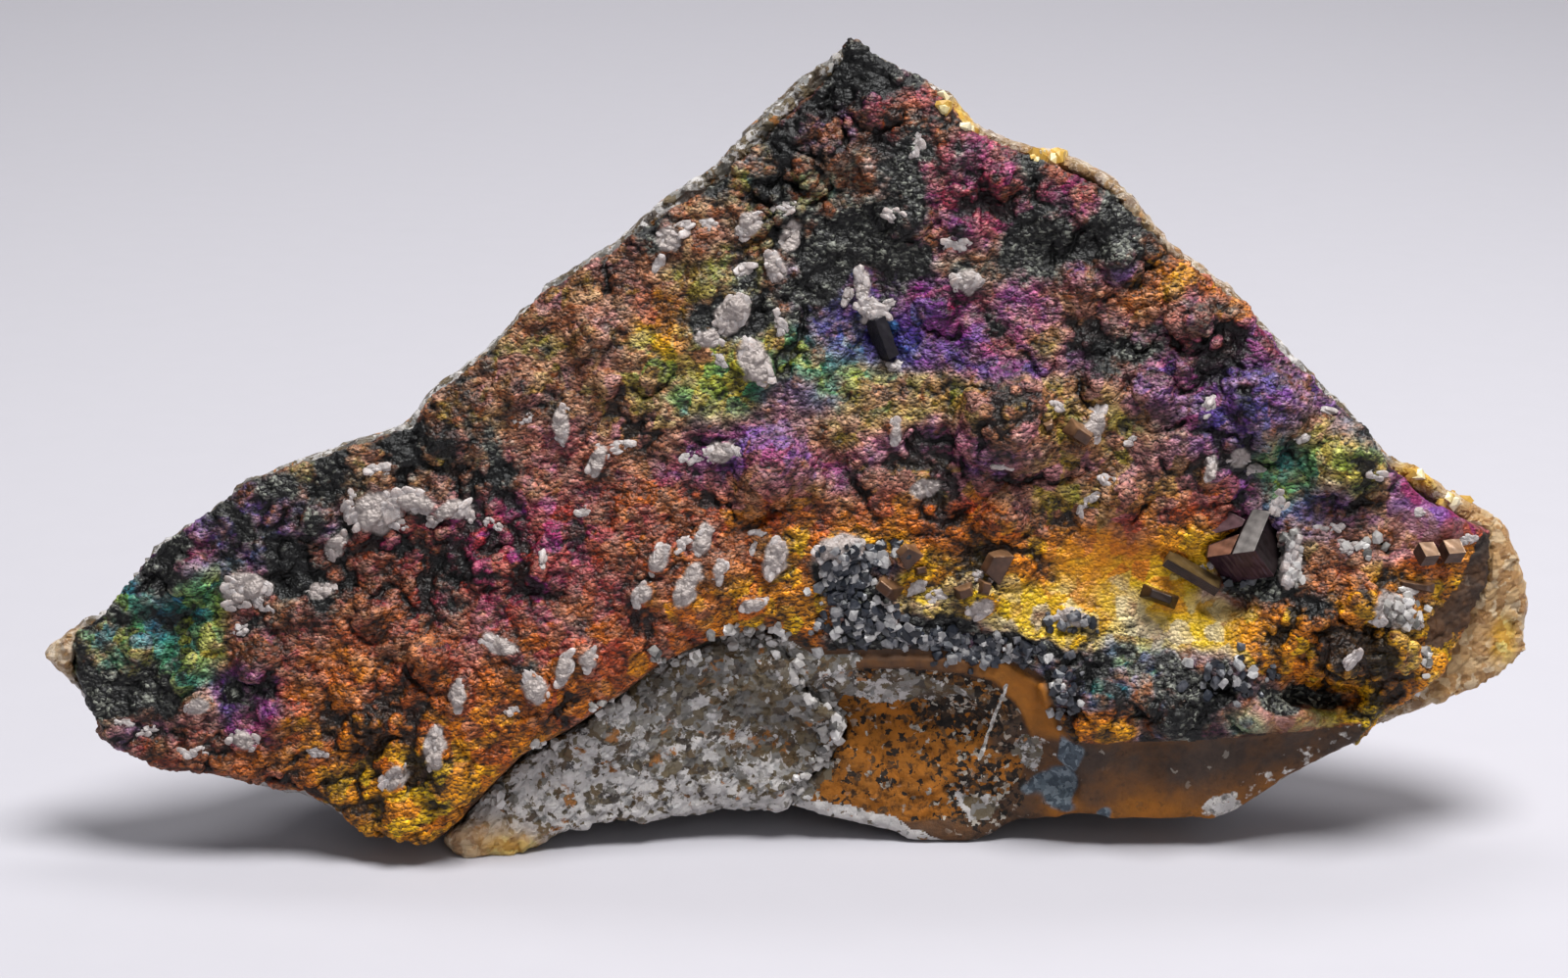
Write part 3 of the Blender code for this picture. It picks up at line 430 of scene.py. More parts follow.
# Large grape-like lobes: u, v, radius.
LOBES = (
    (18.0, 5.6, 4.3), (39.2, 6.3, 3.6), (43.2, 4.6, 2.2), (45.8, 2.2, 3.4), (-0.8, 1.5, 3.4),
    (53.6, -2.6, 2.0), (31.4, -18.4, 2.1), (42.0, -18.3, 2.4), (38.6, -18.8, 1.8),
    (27.2, 18.6, 2.0), (24.8, 16.4, 1.8), (33.6, 13.8, 1.9), (30.4, 7.4, 2.3), (25.6, 8.8, 2.0),
    (12.6, 14.8, 1.8), (10.2, 22.0, 1.9), (17.0, 25.2, 1.8), (1.6, 25.6, 1.9), (7.2, 31.6, 1.7),
    (-6.4, 16.8, 1.9), (-15.8, 12.6, 2.0), (-21.4, 8.2, 1.8), (-27.2, 3.6, 1.9),
    (-38.2, -2.6, 2.0), (-48.4, -6.8, 2.1), (-53.0, -13.0, 2.0), (-49.0, -15.2, 1.9),
    (-43.0, -14.4, 2.2), (-33.6, -10.2, 2.0), (-28.4, -13.8, 2.2), (-33.8, -19.4, 2.0),
    (-27.4, -24.0, 2.4), (-31.6, -26.2, 1.8), (-20.6, -6.6, 2.2), (-24.6, -7.2, 1.8),
    (49.4, -13.4, 2.2), (45.8, -13.2, 2.4), (43.2, -11.0, 1.9), (47.0, -9.4, 1.9),
    (22.6, -16.4, 1.9), (26.6, -17.2, 2.0), (27.8, -0.6, 2.0), (17.2, -2.6, 2.2),
    (32.0, 3.2, 2.2), (28.4, 7.0, 1.6), (36.2, 10.6, 1.7), (30.0, 12.4, 1.5), (33.4, 9.8, 1.4),
    (38.2, 11.2, 1.3), (22.4, 3.2, 2.2), (24.0, 12.6, 1.6), (20.4, 11.6, 1.5), (12.0, 5.4, 2.0),
    (8.6, 0.8, 2.2), (-6.6, 5.2, 2.2), (-12.2, -1.0, 2.4), (51.0, -13.6, 1.4), (44.6, -15.0, 1.3),
    (13.4, 0.0, 2.0), (-10.8, 9.4, 1.8), (4.6, 11.4, 1.6), (22.2, 21.4, 1.7), (27.0, 21.6, 1.6),
)


def film_colour_at(points, shift):
    """The interference colour, how vivid it is and how black, blended from the zones."""
    warped = points + 1.3 * warped_by(points, 4.0, 71) + 0.5 * warped_by(points, 1.2, 81)
    patch = grains(points + 0.4 * warped_by(points, 0.9, 94), 1.5, 97)[2]
    wander = 0.05 * rough_noise(points, 2.4, 91) + 0.12 * (lattice_random(patch, 99) - 0.5) + shift
    stops = np.array([stop[0] for stop in FILM_COLOURS])
    colours = np.array([linear(stop[1])[:3] for stop in FILM_COLOURS])
    total = np.full(len(points), 1e-9)
    colour = np.zeros((len(points), 3))
    vivid = np.zeros(len(points))
    black = np.zeros(len(points))
    for u, v, half_u, half_v, thickness, how_vivid, how_black in FILM_ZONES:
        reach = ((warped[:, 0] - u) / half_u) ** 2 + ((warped[:, 1] - v) / half_v) ** 2
        near = np.nonzero(reach < 16.0)[0]
        weight = np.exp(-1.4 * reach[near]) + 1e-6 / (1 + reach[near])
        film = np.clip(thickness + wander[near], 0, 1)
        shade = np.stack([np.interp(film, stops, colours[:, channel]) for channel in range(3)], axis=1)
        colour[near] += weight[:, None] * shade
        vivid[near] += weight * how_vivid
        black[near] += weight * how_black
        total[near] += weight
    vivid = vivid / total + 0.45 * (lattice_random(patch, 101) - 0.5)
    black = black / total
    black = black + 1.5 * np.sqrt(np.clip(black - 0.08, 0, 1)) * rough_noise(points, 3.4, 103)
    return colour / total[:, None], np.clip(vivid, 0, 1), np.clip(black, 0, 1)


class DruseSettings(bpy.types.PropertyGroup):
    lump_size: FloatProperty(name="Lump size", description="How wide the round lumps of the druse are",
                             default=2.6 * MM, min=1 * MM, max=8 * MM, unit="LENGTH", precision=5)
    lump_height: FloatProperty(name="Lump height", description="How far the round lumps stand out",
                               default=0.55 * MM, min=0, max=2 * MM, unit="LENGTH", precision=5)
    grain_size: FloatProperty(name="Grain size", description="How wide the grains of the druse are",
                              default=0.5 * MM, min=0.3 * MM, max=1.5 * MM, unit="LENGTH", precision=5)
    grain_height: FloatProperty(name="Grain height", description="How far the grains stand out",
                                default=0.2 * MM, min=0, max=0.5 * MM, unit="LENGTH", precision=5)
    film_shift: FloatProperty(name="Film thickness",
                              description="Makes the film thicker all over, which moves its colours",
                              default=0.0, min=-0.3, max=0.3)
    film_strength: FloatProperty(name="Film strength",
                                 description="How much of the bare brown goethite the film's colours hide",
                                 default=1.0, min=0.0, max=1.0, subtype="FACTOR")
    rust: FloatVectorProperty(name="Bare goethite", description="The colour of goethite with no film on it",
                              default=linear("#70402a")[:3], subtype="COLOR", min=0, max=1)
    black: FloatVectorProperty(name="Black goethite", description="The colour of the black goethite",
                               default=linear("#0c0a0a")[:3], subtype="COLOR", min=0, max=1)


DRUSE_SUNK = 0.10  # millimetres that the grains' feet lie under the solid's surface

# Where the druse is smooth, and where it is rougher than elsewhere: u, v, half width, half height
# and how much.
SMOOTH_PLACES = (
    (33.5, -9.5, 5.0, 5.0, 1.0), (41.5, -18.6, 4.5, 2.2, 1.0), (27.0, -7.0, 6.0, 4.0, 1.0),
    (22.0, -9.5, 4.0, 2.4, 0.9), (-14.0, -12.0, 9.0, 5.0, 0.2), (53.5, -2.0, 4.5, 3.5, 0.9),
)
ROUGH_PLACES = (
    (32.0, 15.0, 8.0, 7.0, 1.0), (2.0, 24.0, 7.0, 9.0, 1.0), (46.0, -12.0, 6.0, 4.0, 0.7),
    (31.4, -18.4, 2.6, 2.2, 1.0), (-46.0, -12.0, 10.0, 9.0, 0.6),
)


def druse_surface(mesh, settings):
    """Grows the lumps and grains on the goethite, and stores what its materials need."""
    points = vertex_values(mesh)
    normals = vertex_values(mesh, "normal")
    above = points[:, 1] - lower_edge_at(points[:, 0])
    front = between(-0.3, 0.35, normals[:, 2])
    druse = between(-0.2, 0.9, above) * front
    colour, vivid, black = film_colour_at(points, settings.film_shift)

    # Round lumps, with winding creases between some of them, which the material darkens with painted shade.
    size = settings.lump_size / MM
    warped = points + 0.55 * warped_by(points, 1.5, 3)
    nearest, _, cell, _ = grains(warped, size, 11)
    dome = np.clip(1.0 - (nearest / 0.85) ** 2, 0, 1) * (0.2 + 0.8 * lattice_random(cell, 15))
    winding = rough_noise(warped, 3.2, 17)
    crease = np.exp(-(winding / 0.17) ** 2) * between(-0.05, 0.5, smooth_noise(points, 6.0, 19))
    smooth_part = strongest(points, SMOOTH_PLACES)
    rough_part = strongest(points, ROUGH_PLACES)
    strength = druse * (1.0 - 0.9 * smooth_part) * (0.75 + 0.7 * rough_part)
    bent = warped + 1.1 * warped_by(points, 3.0, 7)
    swell, gutter = np.zeros(len(points)), np.zeros(len(points))
    for u, v, radius in LOBES:
        wide = np.sqrt((bent[:, 0] - u) ** 2 + (bent[:, 1] - v) ** 2) / radius
        swell = np.maximum(swell, LOBE_RISE * radius * (1 - between(0.35, 1.1, wide)))
        below = between(0.1, -0.7, (bent[:, 1] - v) / radius)
        gutter = np.maximum(gutter, np.exp(-((wide - 1.1) / 0.13) ** 2) * (0.1 + 0.9 * below))
    gutter = gutter * (swell < 0.1) * between(-0.5, 0.4, smooth_noise(points, 3.0, 29))
    points = points + normals * (druse * (swell - 0.45 * gutter))[:, None]
    lumps = settings.lump_height / MM * strength * (dome - 1.1 * crease + 0.7 * rough_noise(points, 2.0, 23))
    points = points + normals * lumps[:, None]
    move_to(mesh, points)

    # Scaly grains in two sizes, wider than high, that stand out furthest at their lower side.
    normals = vertex_values(mesh, "normal")
    grain = settings.grain_size / MM
    stretch = np.array((0.88, 1.08, 1.0))
    near_1, _, cell_1, _ = grains((points + 0.5 * (warped - points)) * stretch, 2.1 * grain, 21)
    near_2, _, cell_2, way = grains((points + 0.2 * (warped - points)) * stretch, grain, 31)
    knobs = np.clip(1.0 - (near_1 / 0.75) ** 2, 0, 1) * lattice_random(cell_1, 25)
    beads = np.clip(1.0 - (near_2 / 0.8) ** 2, -0.3, 1) - 0.7 * way[:, 1]
    grainy = druse * (1.0 - 0.65 * smooth_part) + 0.12 * (1 - druse)
    uneven_beads = 1.15 * beads * (0.5 + 0.5 * lattice_random(cell_2, 35))
    relief = grainy * ((1.5 + 1.4 * rough_part) * knobs + uneven_beads)
    height = settings.grain_height / MM
    points = points + normals * (height * relief - DRUSE_SUNK)[:, None]
    move_to(mesh, points)

    # How raised each point is, counted lower in the creases and gutters: the material paints shade into the
    # low places and a highlight on the raised crests.
    raised = 0.52 + 0.24 * (beads - 0.4) + 0.34 * (dome - 0.35) + 0.38 * (knobs - 0.2)
    raised = raised - 0.75 * crease * strength - 0.35 * gutter
    store(mesh, "film_colour", np.concatenate([colour, np.ones((len(colour), 1))], axis=1))
    store(mesh, "vivid", vivid * between(-0.1, 0.5, above) * between(-0.8, -0.3, normals[:, 2]))
    store(mesh, "black", black)
    store(mesh, "raised", np.clip(raised + 0.25 * smooth_part, 0, 1))
    store(mesh, "grain", lattice_random(cell_2, 37))
    store(mesh, "smooth_part", smooth_part)
    pale = np.zeros(len(points))
    bitten = points + 0.3 * warped_by(points, 0.8, 39)
    for u, v, length, width, turn in PALE_ON_LUMPS:
        along, across = math.cos(math.radians(turn)), math.sin(math.radians(turn))
        a = (bitten[:, 0] - u) * along + (bitten[:, 1] - v) * across
        b = (bitten[:, 1] - v) * along - (bitten[:, 0] - u) * across
        pale = np.maximum(pale, between(0.58, 0.46, np.hypot(a / length, b / width)))
    store(mesh, "pale", pale)


def druse_material(settings):
    """Goethite needles too fine to see, in a grainy crust under a film of iridescent iron oxide.

    The film gives bands of saturated colour that change from grain to grain, on a dull brown
    ground. The surface is satin and a little metallic; painted shade makes its hollows near black,
    and painted highlights pale its crests and glint on the black goethite.
    """
    made, add, shader, place = new_material("iridescent_goethite_druse")
    film = add("Attribute", attribute_name="film_colour")
    vivid, black, raised, grain, smooth_part, pale = (
        add("Attribute", attribute_name=name).outputs["Fac"]
        for name in ("vivid", "black", "raised", "grain", "smooth_part", "pale"))

    # Bare goethite between the filmed grains: patches 2 mm wide of brown, rust and grey-brown.
    patches = add("TexNoise", {"Scale": 1 / (2 * MM), "Detail": 4.0, "Vector": place})
    bare = add("ValToRGB", {"Fac": patches}, stops=(
        (0.30, "#291a14"), (0.45, "#573220"), (0.55, "#7c4e36"), (0.70, "#a28268")))
    tint = add("Mix", {0: 0.35, 7: (*settings.rust, 1.0), 6: bare}, data_type="RGBA")

    # Scales 0.3 mm wide, each painted light on its upper part and with painted shade under its lower edge.
    shrunk = add("VectorMath", {1: (0.85, 0.85, 1.05), 0: place}, operation="MULTIPLY")
    bend = add("TexNoise", {"Scale": 1 / (0.6 * MM), "Detail": 2.0, "Vector": place})
    bent = add("VectorMath", {1: (0.0005, 0.0005, 0.0005), 0: bend.outputs["Color"], 2: shrunk},
               operation="MULTIPLY_ADD")
    scales = add("TexVoronoi", {"Scale": 1 / (0.29 * MM), "Vector": bent})
    from_middle = add("VectorMath", {0: bent, 1: scales.outputs["Position"]}, operation="SUBTRACT")
    sides = add("SeparateXYZ", {"Vector": from_middle})
    under = add("MapRange", {"From Min": -0.15 * MM, "From Max": 0.01 * MM, "To Min": 0.08, "To Max": 1.0,
                             "Value": sides.outputs["Z"]})
    scale_number = add("SeparateColor", {"Color": scales.outputs["Color"]})
    quiet = add("MapRange", {"To Max": 0.62, "Value": smooth_part})
    lit = add("Mix", {3: 0.95, 0: quiet, 2: under}, data_type="FLOAT")

    # Where the film shows, broken up grain by grain.
    specks = add("TexNoise", {"Scale": 1 / (1.1 * MM), "Detail": 4.0, "Roughness": 0.6, "Vector": place})
    swing = add("Math", {1: 0.5, 0: specks}, operation="SUBTRACT")
    uneven = add("Math", {1: 2.2, 0: swing, 2: vivid}, operation="MULTIPLY_ADD")
    shown = add("MapRange", {"From Min": 0.0, "From Max": 0.72, "To Max": 0.95 * settings.film_strength,
                             "Value": uneven})
    # The raised crests get a painted highlight: there the film is paled towards a chalky colour, the more
    # where it is less vivid, and the flanks keep the film's deep colour.
    chalky = add("MapRange", {"From Min": 0.3, "From Max": 0.9, "To Min": 0.45, "To Max": 0.04,
                              "Value": vivid})
    chalky_highlight = add("Mix", {7: linear("#c4ae9c"), 0: chalky, 6: film}, data_type="RGBA")
    painted_top_highlight = add("MapRange", {"From Min": 0.42, "From Max": 0.72, "Value": raised})
    filmed = add("Mix", {0: painted_top_highlight, 6: film, 7: chalky_highlight}, data_type="RGBA")
    colour = add("Mix", {0: shown, 6: tint, 7: filmed}, data_type="RGBA")

    # Each grain is a little lighter or darker than the next.
    both = add("Math", {0: grain, 1: scale_number.outputs["Red"]}, operation="ADD")
    lightness = add("MapRange", {"From Max": 2.0, "To Min": 0.30, "To Max": 1.95, "Value": both})
    even = add("Mix", {3: 1.0, 0: quiet, 2: lightness}, data_type="FLOAT")
    varied = add("HueSaturation", {"Saturation": 1.14, "Value": even, "Color": colour})

    # Black goethite in patches; painted shade blackens the hollows further, and painted highlights put pale
    # grey-olive glints on the raised scales.
    blots = add("TexNoise", {"Scale": 1 / (1.6 * MM), "Detail": 5.0, "Roughness": 0.65, "Vector": place})
    more = add("Math", {1: 0.9, 0: blots, 2: black}, operation="MULTIPLY_ADD")
    less = add("Math", {1: -0.35, 0: raised, 2: more}, operation="MULTIPLY_ADD")
    dark = add("MapRange", {"From Min": 0.48, "From Max": 0.85, "Value": less})
    sheen = add("MapRange", {"From Min": 0.40, "From Max": 0.85, "To Max": 0.85, "Value": raised})
    facing = add("MapRange", {"From Min": 0.48, "From Max": 0.95, "Value": scale_number.outputs["Green"]})
    glint = add("Math", {0: sheen, 1: facing}, operation="MULTIPLY")
    black_and_glints = add("Mix", {6: (*settings.black, 1.0), 7: linear("#a0a295"), 0: glint}, data_type="RGBA")
    blackened = add("Mix", {0: dark, 6: varied, 7: black_and_glints}, data_type="RGBA")
    # Painted shade: the colour is darkened in the low places, and under each scale's lower edge.
    hollow = add("MapRange", {"From Min": 0.20, "From Max": 0.66, "To Min": 0.05, "To Max": 1.0,
                              "Value": raised})
    deep = add("Math", {0: hollow, 1: lit}, operation="MULTIPLY")
    shaded = add("Mix", {0: 1.0, 6: blackened, 7: deep}, data_type="RGBA", blend_type="MULTIPLY")
    crystal = add("Mix", {7: linear("#a39893"), 0: pale, 6: shaded}, data_type="RGBA")

    bump = add("Bump", {"Strength": 0.6, "Distance": 0.22 * MM, "Height": scales.outputs["Distance"]},
               invert=True)
    gloss = add("MapRange", {"To Min": 0.42, "To Max": 0.66, "Value": specks})
    connect(shader, {"Base Color": crystal, "Normal": bump, "Roughness": gloss})
    shader.inputs["Metallic"].default_value = 0.18
    return made


def broken_goethite_material():
    """Massive goethite, broken through: brown like chocolate, ochre where it has weathered.

    The break is smooth and dull, with specks of black and of pale quartz, and painted shade darkens its
    pits.
    """
    made, add, shader, place = new_material("broken_massive_goethite")
    ochre, specked, chipped, steel, rugged = (
        add("Attribute", attribute_name=name).outputs["Fac"]
        for name in ("ochre", "specked", "chipped", "steel", "rugged"))

    clouds = add("TexNoise", {"Scale": 1 / (2.6 * MM), "Detail": 8.0, "Roughness": 0.65, "Vector": place})
    swing = add("Math", {1: 0.5, 0: clouds}, operation="SUBTRACT")
    ripe = add("Math", {1: 0.75, 0: swing, 2: ochre}, operation="MULTIPLY_ADD")
    body = add("ValToRGB", {"Fac": ripe}, stops=(
        (0.05, "#2a2320"), (0.25, "#44342a"), (0.5, "#684322"), (0.75, "#8e5819"), (1.0, "#aa6618")))
    bend = add("TexNoise", {"Scale": 1 / (0.5 * MM), "Detail": 4.0, "Vector": place})
    ragged = add("VectorMath", {1: (0.0011, 0.0011, 0.0011), 0: bend.outputs["Color"], 2: place},
                 operation="MULTIPLY_ADD")
    grit = add("TexVoronoi", {"Scale": 1 / (0.42 * MM), "Vector": ragged})
    grit_number = add("SeparateColor", {"Color": grit.outputs["Color"]})
    few = add("Math", {0: specked, 1: grit_number.outputs["Red"]}, operation="SUBTRACT")
    specks = add("MapRange", {"From Min": 0.0, "From Max": 0.12, "Value": few})
    speck_colour = add("ValToRGB", {"Fac": grit_number.outputs["Green"]}, stops=(
        (0.0, "#15110e"), (0.55, "#2c231c"), (0.8, "#6a4a2a"), (0.9, "#b0a89c")))
    speckled = add("Mix", {0: specks, 6: body, 7: speck_colour}, data_type="RGBA")
    silver = add("ValToRGB", {"Fac": grit_number.outputs["Blue"]}, stops=(
        (0.0, "#39424c"), (0.6, "#5a6670"), (0.9, "#7d8890")))
    steeled = add("Mix", {0: steel, 6: speckled, 7: silver}, data_type="RGBA")
    chip_noise = add("TexNoise", {"Scale": 1 / (0.8 * MM), "Detail": 3.0, "Vector": place})
    chip_swing = add("Math", {1: 1.2, 0: chip_noise, 2: chipped}, operation="MULTIPLY_ADD")
    chips = add("MapRange", {"From Min": 1.0, "From Max": 1.12, "Value": chip_swing})
    chip_colour = add("ValToRGB", {"Fac": grit_number.outputs["Red"]}, stops=(
        (0.0, "#8d8884"), (0.5, "#c4beb8"), (1.0, "#dcd8d2")))
    chippy = add("Mix", {0: chips, 6: steeled, 7: chip_colour}, data_type="RGBA")
    # Where the break is rugged, painted shade makes its pits near black and a painted highlight makes its
    # edges light.
    fine = add("TexNoise", {"Scale": 1 / (0.9 * MM), "Detail": 7.0, "Roughness": 0.7, "Vector": place})
    pits = add("MapRange", {"From Min": 0.36, "From Max": 0.5, "To Min": 0.22, "To Max": 1.12,
                            "Value": fine})
    painted_pit_shade = add("Mix", {2: 1.0, 0: rugged, 3: pits}, data_type="FLOAT")
    body_with_pit_shade = add("Mix", {0: 1.0, 6: chippy, 7: painted_pit_shade}, data_type="RGBA", blend_type="MULTIPLY")
    depth = add("MapRange", {"To Min": 0.35, "To Max": 1.0, "Value": rugged})
    bump = add("Bump", {"Distance": 0.5 * MM, "Height": fine, "Strength": depth})
    connect(shader, {"Base Color": body_with_pit_shade, "Normal": bump})
    shader.inputs["Roughness"].default_value = 0.62
    shader.inputs["Specular IOR Level"].default_value = 0.3
    return made


ARC_MIDDLE = (8.6, -21.4)  # u and v of the middle of the brown arc
ARC_SIZE = (13.6, 7.9)  # its half width and half height
ARC_INNER = ((2.0, 0.84), (12.0, 0.85), (17.0, 0.94), (20.5, 0.87))  # u, and how far out the arc begins
ARC_OUTER = ((10.0, 1.07), (17.0, 1.14), (21.0, 1.16), (23.0, 1.10))  # u, and how far out it ends
BREAK_RIM = (  # the lower rim of the broken goethite: u and v
    (0, -26.9), (6, -27.3), (9.5, -28.3), (12.2, -30.2), (14.3, -30.7), (18, -29.4),
    (25, -29.0), (32, -28.2), (34.6, -26.7), (38.7, -24.6), (42.4, -21.9), (47.5, -18.9),
)
DARK_PLACES = ((15.5, -17.8, 4.2, 3.2, 1.0), (9.0, -15.6, 6.5, 1.2, 1.0), (17.0, -25.5, 3.5, 3.5, 0.8))
CHIP_SPOTS = ((36.4, -26.3, 1.4, 1.0, 1.0), (20.5, -21.3, 1.8, 1.5, 0.8))
FAINT_CHIPS = (16.0, -25.0, 3.0, 3.5)
STEEL_PLACES = ((22.6, -24.8, 2.2, 1.8, 1.0), (23.4, -21.8, 0.8, 1.8, 1.0), (26.6, -27.0, 1.0, 0.8, 0.8))
VEIN_MIDDLE = (17.6, -18.6)
VEIN_SLOPE = 0.33


def break_surface(mesh):
    """The smooth broken goethite below the druse: its brown arc, its patches and its relief."""
    points = vertex_values(mesh)
    normals = vertex_values(mesh, "normal")
    u, v = points[:, 0], points[:, 1]
    below = lower_edge_at(u) - v
    on_break = between(0.0, 0.8, below)
    wobble = rough_noise(points, 5.0, 51)
    fine = rough_noise(points, 1.6, 53)

    # The arc is a smooth band round the hollow, 2 to 3 mm wide.
    reach = np.sqrt(((u - ARC_MIDDLE[0]) / ARC_SIZE[0]) ** 2 + ((v - ARC_MIDDLE[1]) / ARC_SIZE[1]) ** 2)
    inner = line_at(ARC_INNER, u) + 0.03 * fine
    outer = line_at(ARC_OUTER, u)
    arc = between(inner - 0.02, inner + 0.03, reach) * between(outer + 0.05, outer, reach + 0.02 * wobble)
    arc = arc * between(-21.4, -19.6, v + 0.4 * fine) * on_break
    field = between(inner + 0.02, inner - 0.05, reach) * on_break
    right = between(20.6, 23.4, u) * on_break

    rough = 0.6 * field * rough_noise(points, 1.6, 55) + 0.05 * rough_noise(points, 0.9, 56)
    rise = 0.45 * arc + 0.14 * right * smooth_noise(points, 5.0, 57)
    rise = rise + 0.05 * right * rough_noise(points, 1.2, 58)
    points = points + normals * ((rough + rise) * on_break)[:, None]
    move_to(mesh, points)

    low = np.clip((below - 2.0) / 7.0, 0, 1)
    ochre = 0.34 + 0.10 * wobble
    ochre = ochre * (1 - right) + right * (0.27 + 0.75 * low + 0.16 * wobble + 0.08 * fine)
    ochre = np.maximum(ochre, 0.85 * field * between(-0.35, 0.25, wobble + 0.35 + 0.02 * (12 - u)))
    ochre = ochre * (1 - arc) + arc * (0.40 + 0.44 * between(12.0, 20.0, u) + 0.06 * wobble)
    ochre = np.where(near_line(points, SIDE_BREAK, 2.5) > 0, 0.26 + 0.16 * wobble + 0.1 * fine, ochre)
    dark_zone = strongest(points, DARK_PLACES)
    specked = np.clip(0.06 + 0.75 * dark_zone + 0.22 * field, 0, 0.95) * (1 - 0.9 * arc)
    rim = between(1.6, 0.2, v - line_at(BREAK_RIM, u))
    rim = rim * np.maximum(between(25.0, 20.0, u), 0.6 * between(32.0, 35.0, u + 0.6 * fine))
    spots = strongest(points, CHIP_SPOTS)
    chipped = np.clip(0.55 * rim + 0.5 * spots + 0.25 * inside(points, *FAINT_CHIPS), 0, 1)
    steel = strongest(points + 0.8 * warped_by(points, 1.8, 121), STEEL_PLACES)
    from_vein = np.abs((u - VEIN_MIDDLE[0]) - VEIN_SLOPE * (v - VEIN_MIDDLE[1]) + 0.15 * fine)
    vein = between(0.22, 0.08, from_vein) * between(-23.0, -22.2, v) * between(-15.6, -16.4, v)
    store(mesh, "ochre", ochre)
    rugged = np.clip(0.28 + 0.8 * field + 0.8 * dark_zone + 0.7 * chipped, 0, 1)
    store(mesh, "rugged", rugged * (1 - 0.8 * arc))
    store(mesh, "milky", np.clip(0.3 + 0.55 * rim + 0.3 * wobble + 0.15 * spots, 0, 1))
    store(mesh, "specked", specked)
    store(mesh, "chipped", np.maximum(chipped, 0.95 * vein * on_break))
    store(mesh, "steel", between(0.3, 0.6, steel + 0.15 * fine))


def near_line(points, line, reach):
    """1 within this reach of a line of points u, v on the face, fading to 0 past it."""
    nearest = np.full(len(points), 99.0)
    for (u0, v0), (u1, v1) in zip(line, line[1:]):
        along = np.array((u1 - u0, v1 - v0))
        part = np.clip(((points[:, :2] - (u0, v0)) @ along) / (along @ along), 0, 1)
        way = points[:, :2] - (u0, v0) - part[:, None] * along
        nearest = np.minimum(nearest, np.hypot(way[:, 0], way[:, 1]))
    return between(reach * 1.15, reach * 0.85, nearest)


SIDE_BREAK = ((57.8, -4.2), (57.0, -8.2), (53.6, -11.6))  # the dark broken edge at the right end

# Quartz left in the break: its right edge as v and u, its lower rim as u and v, and ovals.
QUARTZ_EDGE = ((-26.5, 2.0), (-22.5, 4.2), (-18.0, 4.8), (-15.0, 6.4))
QUARTZ_RIM = ((0, -26.0), (6, -26.6), (9.5, -27.4), (12.2, -29.2), (14.3, -29.7), (18, -28.6), (25, -28.4))
QUARTZ_UNDER_ARC = (10.4, -16.4, 5.6, 1.5)
QUARTZ_CHIPS = ((20.6, -21.6, 1.7, 1.4, 1.0), (16.2, -26.4, 1.8, 1.8, 1.0), (36.4, -26.6, 0.8, 0.9, 1.0))


def stone_at(points):
    """What each place of the crust is: 0 druse, 1 broken goethite, 2 quartz left in the break."""
    u, v = points[:, 0], points[:, 1]
    ragged = points + 0.9 * warped_by(points, 1.6, 111) + 0.35 * warped_by(points, 0.5, 114)
    below_druse = v < lower_edge_at(u) + 0.15 * smooth_noise(points, 0.8, 117)
    broken = below_druse | (near_line(ragged, SIDE_BREAK, 1.05) > 0.5)
    left = (u < 13.0) & (ragged[:, 0] < line_at(QUARTZ_EDGE, v))
    under_arc = inside(ragged, *QUARTZ_UNDER_ARC) > 0.5
    rim = (u > 0) & (u < 21) & (v < line_at(QUARTZ_RIM, u) + 0.5 * rough_noise(points, 1.5, 119))
    chips = strongest(ragged, QUARTZ_CHIPS) > 0.6
    quartz = (left | under_arc | rim | chips) & (v < lower_edge_at(u) - 0.3) & (u < 40)
    return np.where(quartz, 2, np.where(broken, 1, 0)).astype(np.int32)


CRUST_VOXEL = 0.49  # millimetres
CRUST_SPLITS = (-24.0, -4.0, 12.0, 31.0)  # where the crust is divided, so that no piece has too many faces
CRUST_NAMES = (
    "goethite_druse_left", "goethite_druse_left_of_middle", "goethite_druse_middle",
    "goethite_druse_right_of_middle", "goethite_druse_right",
)


class BuildDruse(bpy.types.Operator):
    """Grow the iridescent druse and the broken goethite below it"""

    bl_idname = "specimen.build_druse"
    bl_label = "Goethite druse"

    def execute(self, context):
        settings = context.scene.specimen_druse
        block = even_block(node_block("goethite_crust"), CRUST_VOXEL)
        smoothed(block, 3)
        cuts = 2
        finer_where(block, lambda middle, normal: normal.z > -0.2, cuts)
        smoothed(block, 2)
        mesh = as_mesh(block, "crust")
        druse_surface(mesh, settings)
        break_surface(mesh)
        middles = np.empty(len(mesh.polygons) * 3, np.float32)
        mesh.polygons.foreach_get("center", middles)
        mesh.polygons.foreach_set("material_index", stone_at(middles.reshape(-1, 3)))
        mesh.polygons.foreach_set("use_smooth", np.ones(len(mesh.polygons), bool))
        whole = bmesh.new()
        whole.from_mesh(mesh)
        bpy.data.meshes.remove(mesh)
        quartz = quartz_material(context.scene.specimen_quartz)
        materials = (druse_material(settings), broken_goethite_material(), quartz)
        limits = (None, *CRUST_SPLITS, None)
        for name, low, high in zip(CRUST_NAMES, limits, limits[1:]):
            part = as_mesh(cut_to(whole.copy(), low, high), name)
            add_piece(name, part, materials, ("goethite_crust",))
        whole.free()
        return {"FINISHED"}


